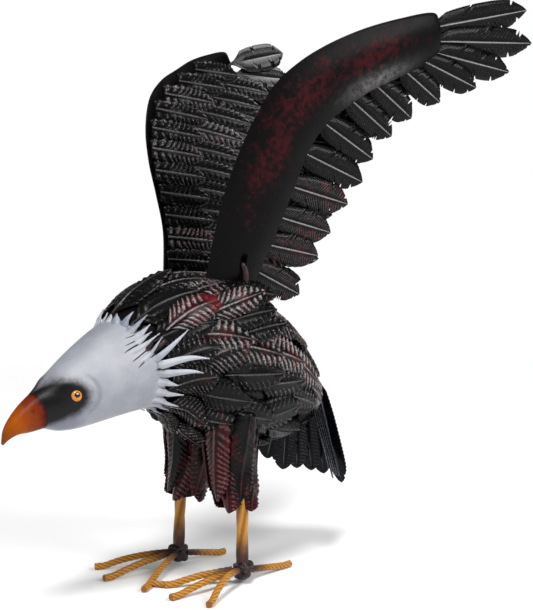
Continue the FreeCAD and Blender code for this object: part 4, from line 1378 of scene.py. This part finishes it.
def makeCollar():
    rows = stripRows(fringeStrips)
    first, last = fringe["ridge"]
    rows.append({"length": fringe["ridgeLength"], "width": fringe["ridgeWidth"], "tint": 0.0,
                 "a": np.array([first, 0.0]), "b": np.array([last, 0.0]), "bend": 0.0})
    makeFringe("neckFringe", rows, paints["fringe"], fringe["start"], fringe["sink"],
               ["neck_fringe"], fringe["sheet"])
    # thin dark sheets laid over the gaps between the strips as painted shadow
    makeFringe("fringeSlits", stripRows(fringeSlits), paints["steel"], fringe["shadowStart"], 0.0,
               [], fringe["shadowSheet"])


makeHead()
makeBeak()
makeCollar()
for side, word in sides:
    makeEye(side, word)
print("head made")

# legs, feet and hooks are fluted rods swept along their paths
rodInputs = {
    "Radius": "Float", "Flutes": "Int", "Flute Depth": "Float", "Twist Length": "Float",
    "Step": "Float", "Around": "Int", "Material": "Material",
}


def makeRodTree():
    board, given = openTree("flutedRods", "Paths", rodInputs, "Rods")
    curve = board.node("GeometryNodeMeshToCurve", {}, {"Mesh": given["Paths"]})
    even = board.node("GeometryNodeResampleCurve", {"mode": "LENGTH"},
                      {"Curve": curve, "Length": given["Step"]})
    run = board.node("GeometryNodeSplineParameter", {}, {}, "Length")
    tilt = board.node("GeometryNodeSetCurveTilt", {}, {
        "Curve": even, "Tilt": run / given["Twist Length"] * 2 * math.pi})
    circle = board.node("GeometryNodeCurvePrimitiveCircle", {},
                        {"Resolution": given["Around"], "Radius": 1.0})
    place = board.node("GeometryNodeInputPosition")
    angle = place.part("Y").join("ARCTAN2", place.part("X"))
    crest = (angle * given["Flutes"]).join("COSINE") * 0.5 + 0.5
    lobed = board.node("GeometryNodeSetPosition", {}, {
        "Geometry": circle,
        "Position": place * (given["Radius"] * (1 - given["Flute Depth"] * (1 - crest)))})
    marked = store(board, lobed, "ridge", crest)
    swept = board.node("GeometryNodeCurveToMesh", {}, {
        "Curve": tilt, "Profile Curve": marked, "Fill Caps": True})
    return closeTree(board, swept, given["Material"])


rodTree = makeRodTree()


def smoothPath(points, count=40):
    return readRows(np.array(points), np.linspace(0, len(points) - 1, count))


def sweepRods(name, paths, style, paint):
    spots, edges = [], []
    for path in paths:
        first = len(spots)
        spots += (path + start).tolist()
        edges += [(first + n, first + n + 1) for n in range(len(path) - 1)]
    mesh = bpy.data.meshes.new(name + "Paths")
    mesh.from_pydata(spots, edges, [])
    host = bpy.data.objects.new(name + "Host", mesh)
    return runTree(host, rodTree, {**style, "Material": paint})


# bends of the shank: height and share of the spread; toes: how far aside and ahead they end,
# and how high they run at shares of their length
leg = {
    "foot": 6.0 * mm, "bends": ((0.245, 1.0), (0.480, 0.72), (0.600, 0.70)), "rightKnee": 0.92,
    "toeRadius": 3.1 * mm, "toeStart": 9.0 * mm, "ankleHeight": 12.5 * mm,
    "leftToes": [(-0.404, -0.733), (-0.011, -0.976), (0.438, -0.869), (-0.079, 0.803)],
    "rightToes": [(-0.612, -0.985), (0.005, -1.024), (0.459, -0.811), (-0.050, 0.659)],
    "innerRise": [(0.0, 0.90), (0.22, 0.76), (0.45, 0.60), (0.68, 0.30), (0.86, 0.03),
                  (0.94, 0.0), (1.0, 0.0)],
    "leftRise": [(0.0, 1.0), (0.22, 1.18), (0.45, 1.12), (0.68, 0.74), (0.86, 0.17),
                 (0.94, 0.0), (1.0, 0.0)],
    "rightRise": [(0.0, 0.90), (0.22, 0.84), (0.45, 0.68), (0.68, 0.38), (0.86, 0.03),
                  (0.94, 0.0), (1.0, 0.0)],
    "rearRise": [(0.0, 0.64), (0.30, 0.42), (0.60, 0.18), (0.84, 0.0), (0.92, 0.0), (1.0, 0.0)],
    "tieRadius": 2.6 * mm,
}
shankStyle = {"Radius": 5.3 * mm, "Flutes": 4, "Flute Depth": 0.17, "Twist Length": 0.15,
              "Step": 1.2 * mm, "Around": 32}
toeStyle = {"Radius": 2.98 * mm, "Flutes": 5, "Flute Depth": 0.13, "Twist Length": 0.026,
            "Step": 0.8 * mm, "Around": 30}


def toePath(side, endShare, rises):
    end = np.array([side * (bird["ankleSpread"] + endShare[0] * bird["toeReach"]),
                    endShare[1] * bird["toeReach"], 0])
    foot = np.array([side * bird["ankleSpread"], 0, 0])
    foot = foot + unit(end - foot) * leg["toeStart"]
    points = []
    for share, rise in rises:
        spot = foot + (end - foot) * share
        height = leg["toeRadius"] + (leg["ankleHeight"] - leg["toeRadius"]) * rise
        points.append((spot[0], spot[1], height))
    return points


def makeLeg(side, word):
    lean = leg["rightKnee"] if side < 0 else 1.0
    path = [(side * bird["ankleSpread"], 0, leg["foot"])] + [
        (side * bird["ankleSpread"] * spread * lean, 0, backHeight * rise)
        for rise, spread in leg["bends"]]
    mesh = sweepRods(word + "Shank", [np.array(path)], shankStyle, paints["leg"])
    addPiece(word + "Shank", mesh, "body", [word + "_shank"])
    rises = (leg["innerRise"], leg["innerRise"], leg[word + "Rise"], leg["rearRise"])
    paths = [smoothPath(toePath(side, share, rise))
             for share, rise in zip(leg[word + "Toes"], rises)]
    mesh = sweepRods(word + "Toes", paths, toeStyle, paints["leg"])
    addPiece(word + "Toes", mesh, "body", [word + "_toes"], sharp=55)


def makeToeTie():
    # short stub from the left inner toe to the nearest place of the right one
    left = np.array(toePath(1, leg["leftToes"][0], leg["innerRise"])[-2])
    path = np.array(toePath(-1, leg["rightToes"][0], leg["innerRise"]))
    near = path[np.argmin(np.linalg.norm(path - left, axis=1))]
    line = unit(path[-1] - path[-2])
    foot = near + line * np.dot(left - near, line)
    foot[2] = leg["toeRadius"]
    mesh = sweepRods("toeTie", [np.array([left, foot])], {**toeStyle, "Radius": leg["tieRadius"]},
                     paints["leg"])
    addPiece("toeTie", mesh, "body", ["toe_tie"], sharp=55)


# the core is height and radius; the lumps' measures are the least and the most
weld = {
    "core": [(9 * mm, 7.2 * mm), (14 * mm, 6.0 * mm)], "lumps": 16, "spread": 5.4 * mm,
    "away": (0.7, 1.25), "height": (6, 15), "radius": (2.3 * mm, 4.2 * mm),
    "voxel": 0.55 * mm, "smoothing": 4,
}


def makeWeld(side, word):
    # lumps of weld run together round the ankle
    lumps = [((0, 0, height), radius) for height, radius in weld["core"]]
    for n in range(weld["lumps"]):
        angle = 2 * math.pi * n / weld["lumps"] + dice.uniform(-0.3, 0.3)
        away = weld["spread"] * dice.uniform(*weld["away"])
        height = dice.uniform(*weld["height"]) * mm
        lumps.append(((away * math.cos(angle), away * math.sin(angle), height),
                      dice.uniform(*weld["radius"])))
    shape = bmesh.new()
    for (x, y, z), radius in lumps:
        place = Vector(start + np.array([side * bird["ankleSpread"] + x, y, z]))
        bmesh.ops.create_icosphere(shape, subdivisions=3, radius=radius,
                                   matrix=Matrix.Translation(place))
    mesh = bpy.data.meshes.new(word + "Weld")
    shape.to_mesh(mesh)
    shape.free()
    host = bpy.data.objects.new(word + "WeldHost", mesh)
    run = host.modifiers.new("run", "REMESH")
    run.mode = "VOXEL"
    run.voxel_size = weld["voxel"]
    host.modifiers.new("soften", "SMOOTH").iterations = weld["smoothing"]
    done = plainMesh(host)
    done.polygons.foreach_set("use_smooth", [True] * len(done.polygons))
    done.materials.append(paints["weld"])
    addPiece(word + "AnkleWeld", done, "body", [word + "_ankle_weld"], sharp=180)


for side, word in sides:
    makeLeg(side, word)
    makeWeld(side, word)
makeToeTie()
print("legs made")

# a bent rod through the plate's slot, with one leg on each side of it
hook = {
    "radius": 2.6 * mm, "outward": 6.5 * mm, "inward": 10.5 * mm, "depth": 15.0 * mm,
    "shoulder": 0.33, "bend": 2.4, "bendStart": 6 * mm, "corner": 0.6, "steps": 90,
    "bodyRow": 3,
}
hookStyle = {"Radius": hook["radius"], "Flutes": 1, "Flute Depth": 0.0, "Twist Length": 1.0,
             "Step": 0.8 * mm, "Around": 24}


def makeHook(side, word):
    crossing = wingPoint(side, wingLength * slotShape["along"], wingLength * slotShape["rise"],
                         wing["crown"] / 2)
    _, topZ, _, lowZ, half = bodyRows[hook["bodyRow"]]
    x, y, z = crossing
    bendZ = z - hook["bend"] * hook["radius"]
    legs = []
    for away in (side * hook["outward"], -side * hook["inward"]):
        foot = (topZ + lowZ) / 2 + (topZ - lowZ) / 2 * math.sqrt(1 - ((x + away) / half) ** 2) \
            - hook["depth"]
        legs.append([(x + away, y, foot), (x + away, y, bendZ - hook["bendStart"]),
                     (x + away, y, bendZ),
                     (x + away * hook["corner"], y, z - hook["shoulder"] * hook["radius"])])
    path = smoothPath(legs[0] + [(x, y, z)] + legs[1][::-1], hook["steps"])
    mesh = sweepRods(word + "Hook", [path], hookStyle, paints["steel"])
    addPiece(word + "WingHook", mesh, word + "_wing", [word + "_wing_hook"],
             sharp=60)


for side, word in sides:
    makeHook(side, word)
print("hooks made")

# what keeps its own shape gets its paint
for name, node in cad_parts.items():
    if not node.hide_render:
        node.data.materials.clear()
        node.data.materials.append(paints["coat" if "shell" in name else "steel"])

stage = {"size": 60.0, "white": (0.93, 0.93, 0.93), "paler": (0.95, 0.95, 0.95),
         "soft": (0.6, 2.0, 0.5), "rough": 0.9, "gloss": 0.1, "glowRange": (0.5, 2.2)}


def makeStage():
    # wide pale floor that glows evenly far off, so that it meets the backdrop without a line
    made, board, soft = newPaint("stagePaper", stage["soft"])
    spot = board.spot()
    away = board.vector(spot.part("X"), spot.part("Y"), 0.0).length()
    paper = board.node("ShaderNodeBsdfPrincipled", {}, {
        "Base Color": board.mix(soft, stage["white"], stage["paler"]),
        "Roughness": stage["rough"], "Specular IOR Level": stage["gloss"]})
    glow = board.node("ShaderNodeEmission", {}, {"Color": (1.0, 1.0, 1.0, 1.0), "Strength": 1.0})
    both = board.node("ShaderNodeMixShader", {}, {
        0: away.ramp(*stage["glowRange"]), 1: paper, 2: glow})
    board.node("ShaderNodeOutputMaterial", {}, {"Surface": both})
    shape = bmesh.new()
    bmesh.ops.create_grid(shape, x_segments=8, y_segments=8, size=stage["size"])
    mesh = bpy.data.meshes.new("stageFloor")
    shape.to_mesh(mesh)
    shape.free()
    mesh.materials.append(made)
    floor = bpy.data.objects.new("stageFloor", mesh)
    scene.collection.objects.link(floor)


# name, place, size, power
lamps = [
    ("frontLamp", (-0.6, -1.9, 0.9), 0.9, 8.0),
    ("sideLamp", (1.7, 0.3, 1.2), 0.8, 26.0),
    ("backLamp", (-0.2, 1.8, 1.7), 1.0, 14.0),
]
studio = {"around": 0.18, "aim": (0, 0, 0.25), "sunStrength": 2.2, "sunWidth": 15.0,
          "sunAim": (-0.30, 0.42, -1.0)}


def addLamp(name, kind, power, aim):
    data = bpy.data.lights.new(name, kind)
    data.energy = power
    lamp = bpy.data.objects.new(name, data)
    lamp.rotation_euler = Vector(aim).to_track_quat("-Z", "Y").to_euler()
    scene.collection.objects.link(lamp)
    return lamp


def makeLights():
    for name, place, size, power in lamps:
        lamp = addLamp(name, "AREA", power, Vector(studio["aim"]) - Vector(place))
        lamp.location = place
        lamp.data.size = size
    sun = addLamp("skyLamp", "SUN", studio["sunStrength"], studio["sunAim"])
    sun.data.angle = math.radians(studio["sunWidth"])


def makeBackdrop():
    # pure white to the camera, much dimmer as a light
    world = bpy.data.worlds.new("studio")
    world.use_nodes = True
    world.node_tree.nodes.clear()
    board = Board(world.node_tree)
    seen = board.node("ShaderNodeLightPath", {}, {}, "Is Camera Ray")
    dim, bright = [
        board.node("ShaderNodeBackground", {}, {"Color": (1.0, 1.0, 1.0, 1.0), "Strength": glow})
        for glow in (studio["around"], 1.0)]
    sky = board.node("ShaderNodeMixShader", {}, {0: seen, 1: dim, 2: bright})
    board.node("ShaderNodeOutputWorld", {}, {"Surface": sky})
    scene.world = world
    scene.view_settings.view_transform = "Standard"


# place from the ankles' middle; focal length and height in pixels of the photograph
cameraStyle = {"place": (0.7694, -0.6914, 0.2820), "azimuth": 45.3, "elevation": 2.68,
               "focal": 1200.0, "high": 610.0, "sensor": 36.0}


def makeCamera():
    azimuth = math.radians(cameraStyle["azimuth"])
    elevation = math.radians(cameraStyle["elevation"])
    data = bpy.data.cameras.new("photoCamera")
    data.sensor_width = cameraStyle["sensor"]
    data.lens = cameraStyle["sensor"] * cameraStyle["focal"] / cameraStyle["high"]
    camera = bpy.data.objects.new("photoCamera", data)
    camera.location = Vector(np.array(cameraStyle["place"]) + start)
    behind = Vector((math.sin(azimuth) * math.cos(elevation),
                     -math.cos(azimuth) * math.cos(elevation), math.sin(elevation)))
    camera.rotation_euler = (-behind).to_track_quat("-Z", "Y").to_euler()
    scene.collection.objects.link(camera)
    scene.camera = camera


makeStage()
makeLights()
makeBackdrop()
makeCamera()
print("stage, lights and camera set")
